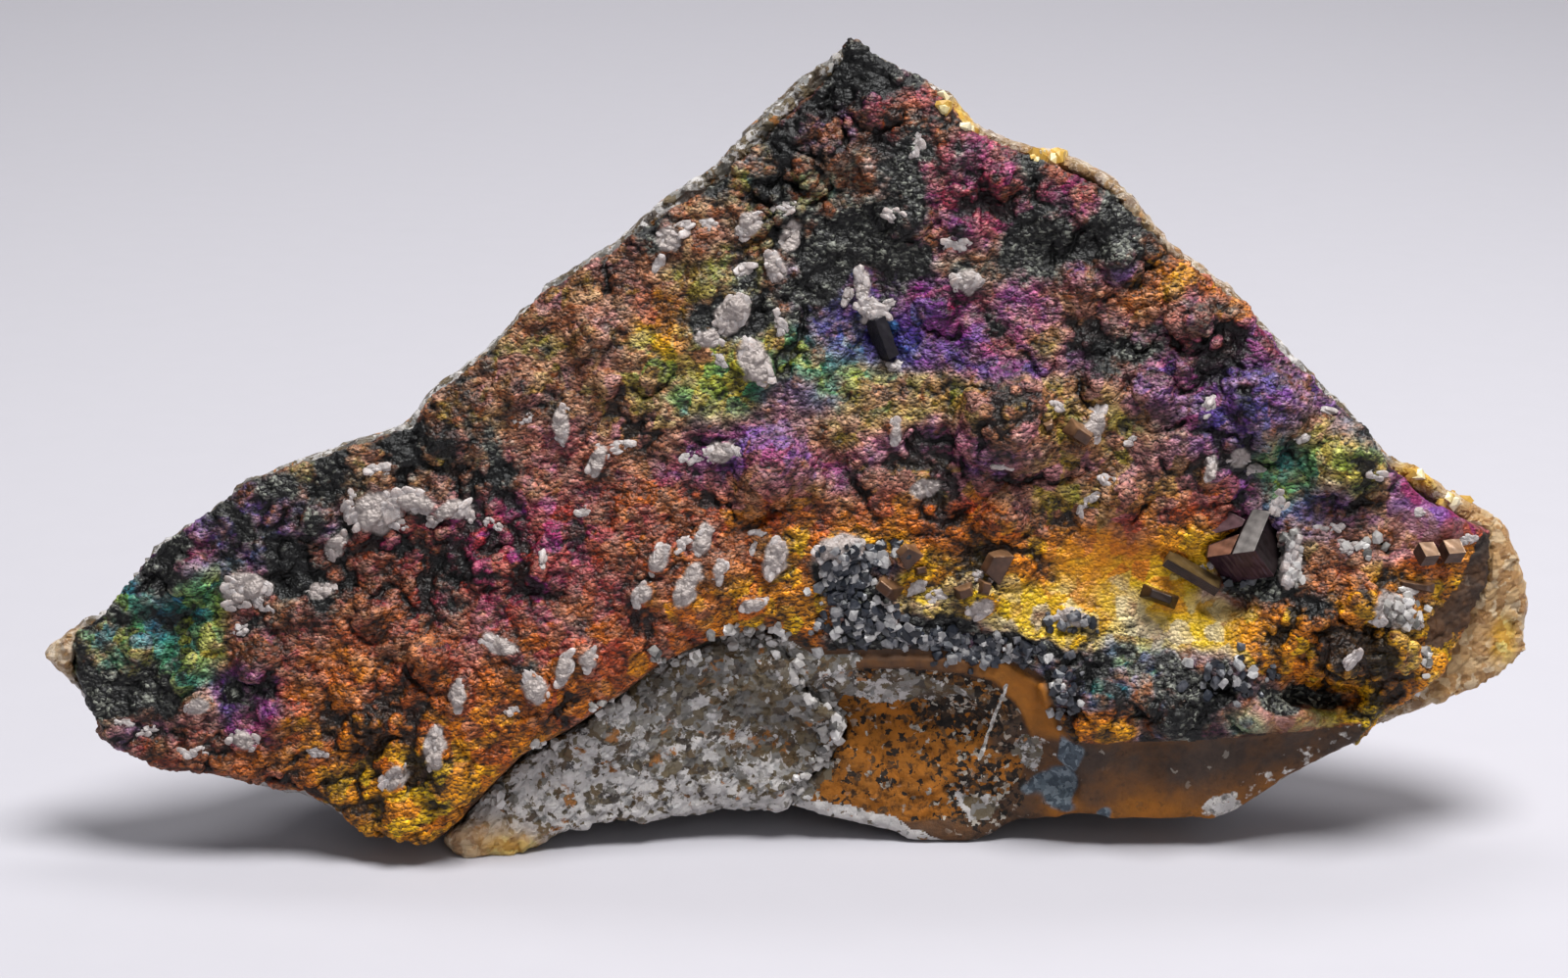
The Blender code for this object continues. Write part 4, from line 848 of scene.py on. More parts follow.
class QuartzSettings(bpy.types.PropertyGroup):
    grain_size: FloatProperty(name="Grain size", description="How wide the broken grains of the quartz are",
                              default=1.1 * MM, min=0.4 * MM, max=4 * MM, unit="LENGTH", precision=5)
    grain_height: FloatProperty(name="Grain height", description="How far the grains stand out",
                                default=0.22 * MM, min=0, max=1 * MM, unit="LENGTH", precision=5)
    milky: FloatVectorProperty(name="Milky quartz", description="The colour of the opaque white quartz",
                               default=linear("#c9c4c1")[:3], subtype="COLOR", min=0, max=1)
    honey: FloatVectorProperty(name="Honey quartz",
                               description="The colour of the stained, translucent quartz",
                               default=linear("#b98d56")[:3], subtype="COLOR", min=0, max=1)


# Where the quartz is stained honey and rusty yellow, and where it is clear: u, v, half width, half
# height and how much.
HONEY_PLACES = ((-25.5, -29.8, 5.5, 2.6, 0.9), (-60.0, -13.5, 3.0, 3.0, 0.7))
STAINED_PLACES = (
    (14.5, 31.0, 1.6, 1.6, 1.0), (21.3, 26.9, 2.0, 1.2, 1.0), (52.0, 1.0, 2.6, 1.2, 1.0),
    (59.8, -12.5, 1.2, 2.0, 1.0), (-22.5, -29.6, 2.4, 1.0, 0.8),
)
CLEAR_PLACES = ((-1.0, -15.5, 5.5, 4.5), (3.0, -21.0, 3.5, 4.5))


def slopes_of(cell, seed):
    """A random slope for each grain's own face."""
    return np.stack([lattice_random(cell, seed + axis) - 0.5 for axis in range(3)], axis=1)


def quartz_surface(mesh, settings):
    """Breaks the quartz into flat-faced grains, and stores where it is stained."""
    points = vertex_values(mesh)
    normals = vertex_values(mesh, "normal")
    size = settings.grain_size / MM
    height = settings.grain_height / MM
    coarse = smooth_noise(points, 9.0, 61)
    nearest, second, cell, offset = grains(points, size, 63)
    facets = 1.6 * (offset * slopes_of(cell, 66)).sum(axis=1) + 0.7 * (lattice_random(cell, 69) - 0.5)
    _, _, big_cell, big_offset = grains(points, 3.1 * size, 73)
    big_facets = 1.8 * (big_offset * slopes_of(big_cell, 76)).sum(axis=1)
    seams = -0.5 * np.exp(-((second - nearest) / 0.09) ** 2)
    relief = height * (facets + seams + 1.2 * big_facets + 0.5 * coarse) + QUARTZ_RAISED
    points = points + normals * relief[:, None]
    move_to(mesh, points)

    u, v, w = points.T
    right_end = between(46.5, 55.0, u + 3.5 * coarse)
    upper_right = 0.5 * between(8.0, 20.0, u + 4 * coarse) * between(10.0, 22.0, v + 4 * coarse)
    honey = np.maximum.reduce([right_end, strongest(points, HONEY_PLACES), upper_right])
    store(mesh, "honey", np.clip(honey, 0, 1))
    store(mesh, "stain", np.clip(strongest(points, STAINED_PLACES), 0, 1))
    clear = inside(points, *CLEAR_PLACES[0]) + 0.6 * inside(points, *CLEAR_PLACES[1])
    low_rim = between(-23.5, -26.0, v + 0.10 * u)
    lower_left = between(-8.0, -18.0, u) * between(-14.0, -18.0, v)
    front = 0.40 + 0.2 * coarse + 0.16 * low_rim - 0.35 * clear + 0.05 * lower_left
    milky = np.where(w < QUARTZ_BACK, 0.56 + 0.4 * coarse, front)
    store(mesh, "milky", np.clip(milky, 0, 1))
    store(mesh, "grain", lattice_random(cell, 70))
    store(mesh, "seam", np.exp(-((second - nearest) / 0.10) ** 2))


def quartz_material(settings):
    """Vein quartz, broken across: milky grains among clear, smoky and iron-stained ones.

    Milky grains are white and matt, the clear ones show grey to olive brown, and the end where
    iron has seeped in is honey-coloured and lets some light through.
    """
    made, add, shader, place = new_material("broken_vein_quartz")
    honey, stain, milky, seam = (
        add("Attribute", attribute_name=name).outputs["Fac"] for name in ("honey", "stain", "milky", "seam"))

    # Grains 0.9 mm wide, bent by finer noise so that their edges are ragged.
    bend = add("TexNoise", {"Scale": 1 / (0.7 * MM), "Detail": 3.0, "Vector": place})
    ragged = add("VectorMath", {1: (0.0011, 0.0011, 0.0011), 0: bend.outputs["Color"], 2: place},
                 operation="MULTIPLY_ADD")
    cells = add("TexVoronoi", {"Scale": 1 / (0.9 * MM), "Vector": ragged})
    number = add("SeparateColor", {"Color": cells.outputs["Color"]})
    glassy = add("ValToRGB", {"Fac": number.outputs["Red"]}, stops=(
        (0.0, "#8f8b86"), (0.25, "#77736c"), (0.5, "#6b5c40"), (0.72, "#5c4628"), (0.88, "#3d3733"),
        (0.96, "#a9a49f")))
    clouds = add("TexNoise", {"Scale": 1 / (1.9 * MM), "Detail": 7.0, "Roughness": 0.7, "Vector": place})
    opaque = add("Math", {1: 0.4, 0: milky, 2: clouds}, operation="MULTIPLY_ADD")
    grainy = add("Math", {1: 0.13, 0: number.outputs["Green"], 2: opaque}, operation="MULTIPLY_ADD")
    white = add("MapRange", {"From Min": 0.74, "From Max": 0.77, "Value": grainy})
    whites = add("MapRange", {"To Min": 0.84, "To Max": 1.08, "Value": number.outputs["Blue"]})
    milk = add("Mix", {7: (*settings.milky, 1.0), 0: white, 6: glassy}, data_type="RGBA")
    spots = add("TexNoise", {"Scale": 1 / (1.5 * MM), "Detail": 4.0, "Vector": ragged})
    rust = add("MapRange", {"From Min": 0.63, "From Max": 0.67, "Value": spots})
    small = add("TexVoronoi", {"Scale": 1 / (0.42 * MM), "Vector": ragged})
    small_number = add("SeparateColor", {"Color": small.outputs["Color"]})
    dot = add("MapRange", {"From Min": 0.80, "From Max": 0.84, "Value": small_number.outputs["Red"]})
    dots = add("ValToRGB", {"Fac": small_number.outputs["Green"]}, stops=(
        (0.0, "#3b3227"), (0.4, "#6a5c42"), (0.7, "#8b8a88"), (1.0, "#d6d2cf")))
    dotted = add("Mix", {0: dot, 6: milk, 7: dots}, data_type="RGBA")
    spotted = add("Mix", {7: linear("#a0672a"), 0: rust, 6: dotted}, data_type="RGBA")
    shades = add("Mix", {0: 1.0, 6: spotted, 7: whites}, data_type="RGBA", blend_type="MULTIPLY")
    honeys = add("ValToRGB", {"Fac": number.outputs["Green"]}, stops=(
        (0.0, "#8a6238"), (0.35, "#b08450"), (0.65, "#c7a677"), (1.0, "#d8c6a8")))
    honey_tint = add("Mix", {0: 0.3, 7: (*settings.honey, 1.0), 6: honeys}, data_type="RGBA")
    stained = add("Mix", {0: honey, 6: shades, 7: honey_tint}, data_type="RGBA")
    ochres = add("ValToRGB", {"Fac": number.outputs["Blue"]}, stops=(
        (0.0, "#b8801c"), (0.6, "#d8a838"), (1.0, "#e6cf7a")))
    rusty = add("Mix", {0: stain, 6: stained, 7: ochres}, data_type="RGBA")
    joints = add("MapRange", {"To Min": 1.0, "To Max": 0.82, "Value": seam})
    jointed = add("Mix", {0: 1.0, 6: rusty, 7: joints}, data_type="RGBA", blend_type="MULTIPLY")
    fine = add("TexNoise", {"Scale": 1 / (0.7 * MM), "Detail": 7.0, "Roughness": 0.7, "Vector": ragged})
    bump = add("Bump", {"Strength": 0.9, "Distance": 0.4 * MM, "Height": fine})
    gloss = add("MapRange", {"To Min": 0.25, "To Max": 0.6, "Value": number.outputs["Green"]})
    connect(shader, {"Base Color": jointed, "Normal": bump, "Roughness": gloss})
    shader.inputs["IOR"].default_value = QUARTZ_IOR
    shader.inputs["Subsurface Weight"].default_value = 0.12
    shader.inputs["Subsurface Radius"].default_value = (0.0014, 0.0011, 0.0008)
    shader.inputs["Subsurface Scale"].default_value = 1.0
    return made


QUARTZ_VOXEL = 0.55  # millimetres
QUARTZ_BACK = -6.0  # w behind which the quartz is plain
QUARTZ_RAISED = 0.16  # millimetres that its broken surface lies over the solid's


class BuildQuartz(bpy.types.Operator):
    """Break the quartz into its grains"""

    bl_idname = "specimen.build_quartz"
    bl_label = "Quartz matrix"

    def execute(self, context):
        settings = context.scene.specimen_quartz
        block = even_block(node_block("quartz_matrix"), QUARTZ_VOXEL)
        smoothed(block, 1)
        finer_where(block, bare_front, 1)
        mesh = as_mesh(block, "quartz_matrix_broken")
        quartz_surface(mesh, settings)
        add_piece("broken_quartz", mesh, (quartz_material(settings),), ("quartz_matrix",))
        return {"FINISHED"}


def bare_front(middle, normal):
    """True on the quartz that shows from the front, below the druse and beside it."""
    if normal.z < -0.1 or middle.z < -16.0:
        return False
    low_break = middle.y < lower_edge_at(middle.x) + 1.0 and middle.x < 13.0
    return low_break or middle.x > 50.0 or middle.z > -3.2


# Pale crystals on the druse: u, v, length, width, and the turn of the length in degrees. The
# first ones stand on lumps of their own size in the crust, and the others on the crust itself.
PALE_ON_LUMPS = (
    (-43.9, -8.1, 4.0, 2.4, 0), (-36.5, -4.6, 2.2, 1.4, 60), (-37.8, -8.3, 1.9, 1.3, 10),
    (4.6, -5.0, 4.0, 2.2, 15),
    (-33.2, -1.9, 4.0, 3.2, 20), (-30.0, -1.0, 3.2, 1.9, -25), (-27.0, -1.7, 2.8, 1.3, 15),
    (-18.1, 5.2, 2.9, 1.4, 95), (-15.2, 2.3, 2.4, 1.3, 70), (-11.6, -8.6, 1.9, 1.4, 60),
    (-10.1, -5.7, 2.4, 1.6, 65), (-6.6, -4.1, 2.4, 1.4, 70), (-7.8, -7.8, 3.8, 1.6, 65),
    (-5.2, -6.7, 1.8, 1.0, 80), (-0.8, -5.7, 3.2, 1.8, 75), (-2.4, -9.4, 2.1, 1.1, 15),
    (-23.0, -12.6, 2.9, 1.4, -20), (-20.2, -16.1, 2.4, 1.8, -60), (-17.8, -14.6, 3.0, 1.3, 70),
    (-15.8, -13.8, 1.8, 1.2, 75), (-26.3, -16.7, 2.4, 1.3, 85), (-28.3, -21.0, 3.4, 1.6, 88),
    (-31.7, -23.4, 2.1, 1.6, 50), (-44.1, -20.5, 2.1, 1.4, -10), (-47.8, -17.7, 1.9, 1.4, 30),
    (-5.2, 3.0, 2.4, 1.6, 20), (-4.2, 14.2, 3.2, 2.4, 55), (-2.4, 10.3, 3.7, 2.4, -60),
    (-6.2, 12.3, 1.8, 1.4, 0), (-0.8, 18.2, 2.4, 1.6, -70), (-2.8, 21.5, 2.2, 1.8, 30),
    (-9.4, 20.3, 1.9, 1.8, 0), (0.5, 20.7, 2.4, 1.6, 75), (15.0, 16.9, 1.9, 1.8, 0),
    (6.4, 16.7, 2.9, 1.1, 100), (7.2, 14.7, 2.4, 1.9, -30), (11.6, 0.1, 2.4, 1.4, 25),
    (9.1, 4.7, 1.9, 1.1, 85), (25.4, 5.4, 2.1, 1.6, 80), (34.8, 1.7, 2.1, 1.0, 80),
    (37.2, 2.6, 1.6, 1.3, 0), (41.4, -5.7, 4.8, 1.4, 83), (49.6, -9.8, 3.2, 2.4, -40),
    (16.2, -9.8, 2.1, 1.6, 20), (23.6, -10.5, 2.1, 1.4, -15),
)
PALE_ON_CRUST = (
    (-42.6, -9.3, 1.8, 1.2, -30), (-44.8, -9.4, 1.5, 1.2, 10), (-44.4, -11.5, 1.1, 1.0, 0),
    (-35.4, -1.3, 1.6, 1.3, 70), (-25.6, -2.3, 1.5, 1.0, -40), (-23.6, -2.9, 1.6, 0.8, -30),
    (-33.1, 1.5, 1.8, 1.4, 0), (-21.0, 5.7, 1.4, 1.0, 30), (-13.2, 3.5, 1.6, 1.3, 0),
    (-16.2, -1.8, 1.3, 1.0, 0), (-19.6, -5.8, 1.3, 1.0, 80), (-8.2, -4.6, 1.4, 0.9, 60),
    (-2.2, -3.7, 1.3, 1.0, 0), (-2.6, -4.9, 1.2, 0.8, 70), (-22.0, -17.9, 1.4, 0.9, 20),
    (-38.1, -21.5, 1.3, 1.0, 0), (-48.2, -21.5, 1.9, 1.2, 10), (-52.2, -19.9, 1.3, 0.9, 30),
    (-54.2, -19.1, 1.2, 0.8, 0), (-7.6, 2.5, 1.8, 1.2, 15), (-4.0, 3.1, 1.5, 1.1, -35),
    (-5.2, 10.7, 1.3, 1.0, -40), (-0.4, 13.5, 2.0, 1.1, 110), (-3.4, 17.8, 1.6, 1.2, 20),
    (-6.2, 21.5, 1.5, 1.3, 0), (-8.2, 21.1, 1.6, 1.3, 40), (0.2, 22.9, 1.9, 1.2, 15),
    (-10.2, 18.5, 1.4, 1.1, 80), (10.9, 28.1, 1.8, 1.3, 85), (8.8, 22.3, 1.5, 1.1, 0),
    (14.0, 19.9, 1.6, 1.4, 0), (5.2, 15.9, 1.5, 1.0, 60), (8.4, 15.0, 1.6, 1.0, 30),
    (9.2, 10.1, 1.2, 0.9, 0), (22.0, 6.7, 1.3, 0.8, 0), (28.4, 3.9, 1.2, 0.8, 30),
    (26.4, 0.6, 1.4, 1.0, -40), (24.4, -1.3, 1.8, 1.0, 70), (25.4, -0.5, 1.3, 0.8, 30),
    (17.6, 1.9, 1.6, 1.1, 0), (34.6, 6.7, 1.4, 1.0, 60), (38.4, 1.5, 1.2, 0.8, 0),
    (44.0, 6.3, 1.6, 1.1, 0), (42.0, 4.3, 1.2, 0.9, 0), (40.1, -0.9, 1.5, 1.0, 70),
    (48.0, 1.1, 1.2, 0.8, 0), (44.4, -3.2, 2.2, 0.8, 0), (46.4, -4.9, 1.9, 1.1, 20),
    (45.4, -4.4, 1.3, 0.9, -30), (52.2, -2.1, 1.4, 0.8, -20), (56.1, -4.1, 1.3, 0.9, 0),
    (40.6, -1.4, 1.4, 1.1, 75), (46.0, -13.7, 1.5, 1.1, 60), (12.8, -8.7, 1.6, 1.2, 30),
    (16.2, -7.3, 1.4, 1.1, -20), (10.8, -8.1, 1.8, 1.2, 40), (8.8, -10.1, 1.8, 1.1, -60),
    (34.9, -6.1, 1.4, 0.9, 30), (50.9, -8.6, 1.4, 1.0, 30), (48.3, -10.6, 1.4, 1.1, -20),
    (51.6, -11.2, 1.2, 0.9, 0), (-28.4, -2.4, 1.6, 1.1, 40), (-31.6, -2.9, 1.8, 1.2, -10),
)
LUMP_TOP = 0.45  # how far a pale crystal's middle lies under the top of its lump
CRUST_SUNK = 0.16  # how far it lies under the crust elsewhere
GRIT_RAISED = 0.1  # how far the middle of a small quartz grain lies over the crust
FEWEST_FLAKES = 7
FLAKE_AREA = 0.34  # square millimetres of a pale crystal for each flake past the fewest
TALL_PALE = {(41.4, -5.7): 1.1, (7.2, 14.7): 0.6, (6.4, 16.7): 0.6}  # crystals that stand up

# Brown wedges in the druse's hollows: u, v, length, width, thickness and turn.
BROWN_WEDGES = (
    (10.0, -5.3, 1.9, 1.4, 1.7, 35), (8.4, -8.1, 2.2, 1.5, 1.6, -35), (17.2, -6.2, 2.8, 1.6, 1.8, 50),
    (14.8, -8.4, 1.8, 1.3, 1.5, 20), (24.0, 4.4, 2.5, 1.5, 1.5, -35), (16.4, -8.1, 1.5, 1.2, 1.3, 75),
    (11.2, -6.7, 1.3, 0.9, 1.1, 10), (21.4, 5.2, 1.2, 0.9, 1.0, 20), (51.5, -7.9, 3.6, 0.9, 1.2, -8),
    (30.8, -8.8, 3.2, 1.2, 1.2, -20),
)
BLACK_WEDGE = (30.8, -8.8)
BLACK_REACH = 2.4  # millimetres round the black wedge's middle that are black
WEDGE_TAPER = 0.55  # how wide a wedge's top is beside its foot
WEDGE_FACE_LIGHT = ("#8a6648", "#4a3020", "#5c4030")  # painted light and shade of faces that look up, down and to the right

# The painted light and shade of each dark crystal's faces: colours for those that look up, down and to the
# right.
DARK_FACE_LIGHT = {
    "block_crystal": ("#4a3a3c", "#3c2632", "#241d1f"),
    "bar_crystal": ("#5f4c2c", "#35231b", "#2c1d18"),
    "cube_crystal_left": ("#9a7a60", "#4c362c", "#5e4638"),
    "cube_crystal_right": ("#9a7a60", "#4c362c", "#5e4638"),
    "prism_crystal": ("#34343c", "#15151b", "#222229"),
}

# Where white and grey grains of quartz are strewn: u, v, half width, half height, how many.
QUARTZ_DRIFTS = (
    (6.8, -5.6, 2.8, 1.2, 50), (5.0, -7.6, 2.2, 2.0, 110), (6.5, -10.8, 3.6, 1.4, 100),
    (12.0, -12.4, 5.0, 0.7, 80), (17.5, -13.6, 5.0, 0.8, 80), (23.0, -16.6, 1.2, 2.6, 30),
    (37.0, -15.4, 3.2, 1.6, 40), (23.5, -10.8, 1.8, 1.0, 16), (37.0, -6.9, 1.8, 1.0, 14),
)
YELLOW_DRIFTS = (
    (13.2, 31.2, 0.7, 0.7, 6), (15.2, 29.9, 0.8, 0.6, 6), (21.4, 27.2, 1.8, 0.6, 12),
    (51.2, 1.2, 1.2, 0.5, 7), (55.0, -1.0, 2.2, 0.6, 8),
)
# White and grey quartz grown along the seam between the broken quartz and the goethite, and in
# small groups on the right.
PALE_DRIFTS = (
    (-0.3, -12.6, 0.6, 1.2, 16), (1.0, -15.2, 0.6, 1.4, 16), (3.2, -17.6, 1.6, 0.7, 18),
    (4.4, -19.4, 0.6, 1.2, 14),
    (3.2, -22.0, 0.8, 1.4, 18), (1.4, -24.6, 0.7, 1.2, 14), (-3.0, -12.2, 2.6, 0.7, 44),
    (-8.6, -14.0, 2.6, 0.6, 26),
    (-14.4, -17.8, 2.4, 0.6, 16), (-19.6, -21.2, 1.6, 0.6, 10), (-24.0, -25.4, 0.8, 1.0, 12),
    (50.2, -9.8, 1.6, 1.4, 34), (52.6, -14.2, 0.4, 3.0, 14), (41.6, -5.4, 0.6, 2.6, 26),
    (47.2, -4.9, 1.4, 0.7, 9),
)
# Each kind of grain: its piece, where it is strewn, its smallest and largest size, and its shades.
GRIT = (
    ("white_quartz_grains", QUARTZ_DRIFTS, (0.16, 0.44),
     ((0.0, "#0d1018"), (0.42, "#232833"), (0.58, "#55565c"), (0.78, "#8c8a8a"), (1.0, "#bfbcba"))),
    ("pale_quartz_grains", PALE_DRIFTS, (0.17, 0.44),
     ((0.0, "#4c4a47"), (0.3, "#8a8681"), (0.7, "#b7b2ae"), (1.0, "#cfcbc8"))),
    ("yellow_quartz_grains", YELLOW_DRIFTS, (0.2, 0.5),
     ((0.0, "#b48a3a"), (0.4, "#cfa548"), (0.7, "#dccb94"), (1.0, "#e6dcc0"))),
)


class CrystalSettings(bpy.types.PropertyGroup):
    pale_scale: FloatProperty(name="Pale crystal size",
                              description="How large the pale crystals are beside their usual size",
                              default=1.08, min=0.5, max=1.6)
    pale_colour: FloatVectorProperty(name="Pale crystals",
                                     description="The colour of the frosted pale crystals",
                                     default=linear("#bcb0ac")[:3], subtype="COLOR", min=0, max=1)
    dark_colour: FloatVectorProperty(name="Dark crystals",
                                     description="The colour of the dark crystals' shaded faces",
                                     default=linear("#3a2a26")[:3], subtype="COLOR", min=0, max=1)
    seed: IntProperty(name="Seed", description="Changes how the small grains are strewn", default=7, min=0)


class Ground:
    """The finished surface of the druse, to stand crystals on."""

    def __init__(self):
        self.trees = []
        for name in (*CRUST_NAMES, "broken_quartz"):
            piece = bpy.data.objects.get(name)
            if piece is None:
                raise RuntimeError(f"{name} is missing: it is built before the crystals")
            block = bmesh.new()
            block.from_mesh(piece.data)
            bmesh.ops.transform(block, matrix=FACE.inverted(), verts=block.verts)
            self.trees.append(BVHTree.FromBMesh(block))
            block.free()

    def height(self, u, v):
        """How far out of the face the surface is at u, v, or None past its outline."""
        hits = [tree.ray_cast(Vector((u, v, 20.0)), Vector((0, 0, -1)))[0] for tree in self.trees]
        heights = [hit.z for hit in hits if hit is not None]
        return max(heights) if heights else None

    def seat(self, u, v, half):
        """The middle height round a place and the surface's mean slope there."""
        around = [self.height(u + half * a, v + half * b) for a,
                  b in ((0, 0), (1, 0), (-1, 0), (0, 1), (0, -1))]
        if None in around[1:]:
            middle = around[0]
            return (0.0 if middle is None else middle), Vector((0, 0, 1))
        lean = Vector((around[2] - around[1], around[4] - around[3], 2 * half)).normalized()
        return sorted(around)[2], lean


def turned(lean, angle):
    """Axes that lie along a surface of this slope, with the first one turned by the angle."""
    along = Vector((math.cos(angle), math.sin(angle), 0))
    across = lean.cross(along).normalized()
    return Matrix((across.cross(lean), across, lean)).transposed()


def add_grain(block, place, axes, half, dice, boxy, uneven, fineness):
    """A rounded crystal grain, from an icosphere drawn out towards the corners of a box."""
    made = bmesh.ops.create_icosphere(block, subdivisions=fineness, radius=1.0)
    for vert in made["verts"]:
        spread = [math.copysign(abs(part) ** boxy, part) * size * (1 + dice.uniform(-uneven, uneven))
                  for part, size in zip(vert.co, half)]
        vert.co = place + axes @ Vector(spread)
    return made["verts"]


def frosted_material(settings):
    """Pale crystals, frosted: their skin is etched, so light goes in and comes back soft and white."""
    made, add, shader, place = new_material("frosted_pale_crystal")
    clouds = add("TexNoise", {"Scale": 1 / (0.9 * MM), "Detail": 6.0, "Roughness": 0.7, "Vector": place})
    body = add("ValToRGB", {"Fac": clouds}, stops=(
        (0.34, "#6f625d"), (0.45, "#a39590"), (0.58, "#c6bab6"), (0.75, "#e0d9d6")))
    tint = add("Mix", {0: 0.4, 7: (*settings.pale_colour, 1.0), 6: body}, data_type="RGBA")
    fine = add("TexNoise", {"Scale": 1 / (0.3 * MM), "Detail": 3.0, "Vector": place})
    bump = add("Bump", {"Strength": 0.7, "Distance": 0.12 * MM, "Height": fine})
    connect(shader, {"Base Color": tint, "Normal": bump})
    shader.inputs["Roughness"].default_value = 0.45
    shader.inputs["Subsurface Weight"].default_value = 0.35
    shader.inputs["Subsurface Radius"].default_value = (0.0009, 0.0007, 0.0006)
    shader.inputs["Subsurface Scale"].default_value = 1.0
    return made


def grit_material(name, stops):
    """Loose-looking quartz grains, each of its own grey or stain, glassy where it has broken."""
    made, add, shader, place = new_material(name)
    shade = add("Attribute", attribute_name="shade").outputs["Fac"]
    clouds = add("TexNoise", {"Scale": 1 / (0.5 * MM), "Detail": 3.0, "Vector": place})
    swing = add("Math", {1: 0.5, 0: clouds}, operation="SUBTRACT")
    mixed = add("Math", {1: 0.5, 0: swing, 2: shade}, operation="MULTIPLY_ADD")
    body = add("ValToRGB", {"Fac": mixed}, stops=stops)
    connect(shader, {"Base Color": body})
    shader.inputs["Roughness"].default_value = 0.38
    shader.inputs["IOR"].default_value = QUARTZ_IOR
    return made


def dark_crystal_material(settings):
    """Goethite grown after pyrite: the old crystal's striated faces, now brown-black and satin.

    Each face is painted by the way it looks: those that look up are painted grey-brown as in light,
    and the others near black as in shade, with a purple-brown tinge.
    """
    made, add, shader, place = new_material("goethite_after_pyrite")
    tone_and_painted_light = add("Attribute", attribute_name="tone_and_painted_light").outputs["Color"]
    clouds = add("TexNoise", {"Scale": 1 / (0.7 * MM), "Detail": 4.0, "Vector": place})
    cloudy = add("MapRange", {"From Min": 0.3, "From Max": 0.7, "To Min": 0.65, "To Max": 1.35,
                              "Value": clouds})
    body = add("Mix", {0: 0.12, 7: (*settings.dark_colour, 1.0), 6: tone_and_painted_light}, data_type="RGBA")
    tint = add("Mix", {0: 1.0, 6: body, 7: cloudy}, data_type="RGBA", blend_type="MULTIPLY")
    stripes = add("TexWave", {"Scale": 1 / (2.2 * MM), "Distortion": 1.2, "Detail": 2.0, "Vector": place},
                  bands_direction="DIAGONAL")
    bump = add("Bump", {"Strength": 0.4, "Distance": 0.08 * MM, "Height": stripes.outputs["Fac"]})
    connect(shader, {"Base Color": tint, "Normal": bump})
    shader.inputs["Metallic"].default_value = 0.25
    shader.inputs["Roughness"].default_value = 0.34
    return made


def painted_face_light(normals, looks):
    """Painted light and shade on a crystal: each point's colour by whether its face looks up, down or to the
    right.
    """
    up, down, right = (np.array(linear(code)[:3]) for code in looks)
    upward = between(0.25, 0.5, normals[:, 1])[:, None]
    rightward = between(0.3, 0.55, normals[:, 0])[:, None] * (1 - upward)
    return up * upward + right * rightward + down * (1 - upward - rightward)


def store_tone_and_painted_light(mesh, colours):
    """Keeps a colour for each vertex, for the dark crystals' material."""
    store(mesh, "tone_and_painted_light", np.concatenate([colours, np.ones((len(colours), 1))], axis=1))


STRIPE_TURNS = 90  # radians of striation across a crystal's second side, which is 14 stripes


def dark_crystal_mesh(name):
    """A CAD crystal's own box in fine squares, with striations."""
    block = node_block(name)
    bmesh.ops.dissolve_limit(block, angle_limit=math.radians(1), verts=block.verts, edges=block.edges)
    corner = max(block.verts, key=lambda vert: vert.co.z)
    ends = [edge.other_vert(corner).co - corner.co for edge in corner.link_edges]
    ends.sort(key=lambda way: way.y)
    edges = [ends.pop()] + sorted(ends, key=lambda way: way.x)
    frame_in = np.linalg.inv(np.array([list(way) for way in edges]).T)
    start = np.array(corner.co)
    bmesh.ops.subdivide_edges(block, edges=list(block.edges), cuts=23, use_grid_fill=True)
    mesh = as_mesh(block, name)
    points, normals = vertex_values(mesh), vertex_values(mesh, "normal")
    across = (frame_in @ (points - start).T)[1]
    stripes = 0.5 + 0.5 * np.sin(across * STRIPE_TURNS + 2 * smooth_noise(points, 0.6, 131))
    depth = 0.04 * smooth_noise(points, 0.7, 133) - 0.03 * stripes
    move_to(mesh, points + normals * depth[:, None])
    store_tone_and_painted_light(mesh, painted_face_light(normals, DARK_FACE_LIGHT[name]))
    return mesh


# The plates that lie on the block: outline in u and v, how far each lies under the block's near
# corner, and the colours of its top and its sides.
BLOCK_PLATES = (
    (((38.1, -5.05), (39.55, -1.8), (38.2, -1.6), (37.15, -3.6), (36.4, -5.3)), -0.05, "#857f7b", "#2c2224"),
    (((34.7, -4.6), (37.1, -3.65), (36.3, -5.3), (34.5, -5.6)), 0.10, "#8a5c46", "#38242a"),
    (((35.7, -1.4), (37.6, -2.5), (37.3, -3.05), (34.5, -3.85)), 0.0, "#6a4c50", "#241a1c"),
)
PLATE_FALL = (0.5, -0.42)  # how fast the plates rise to the right and fall upwards
PLATE_THICKNESS = 1.5


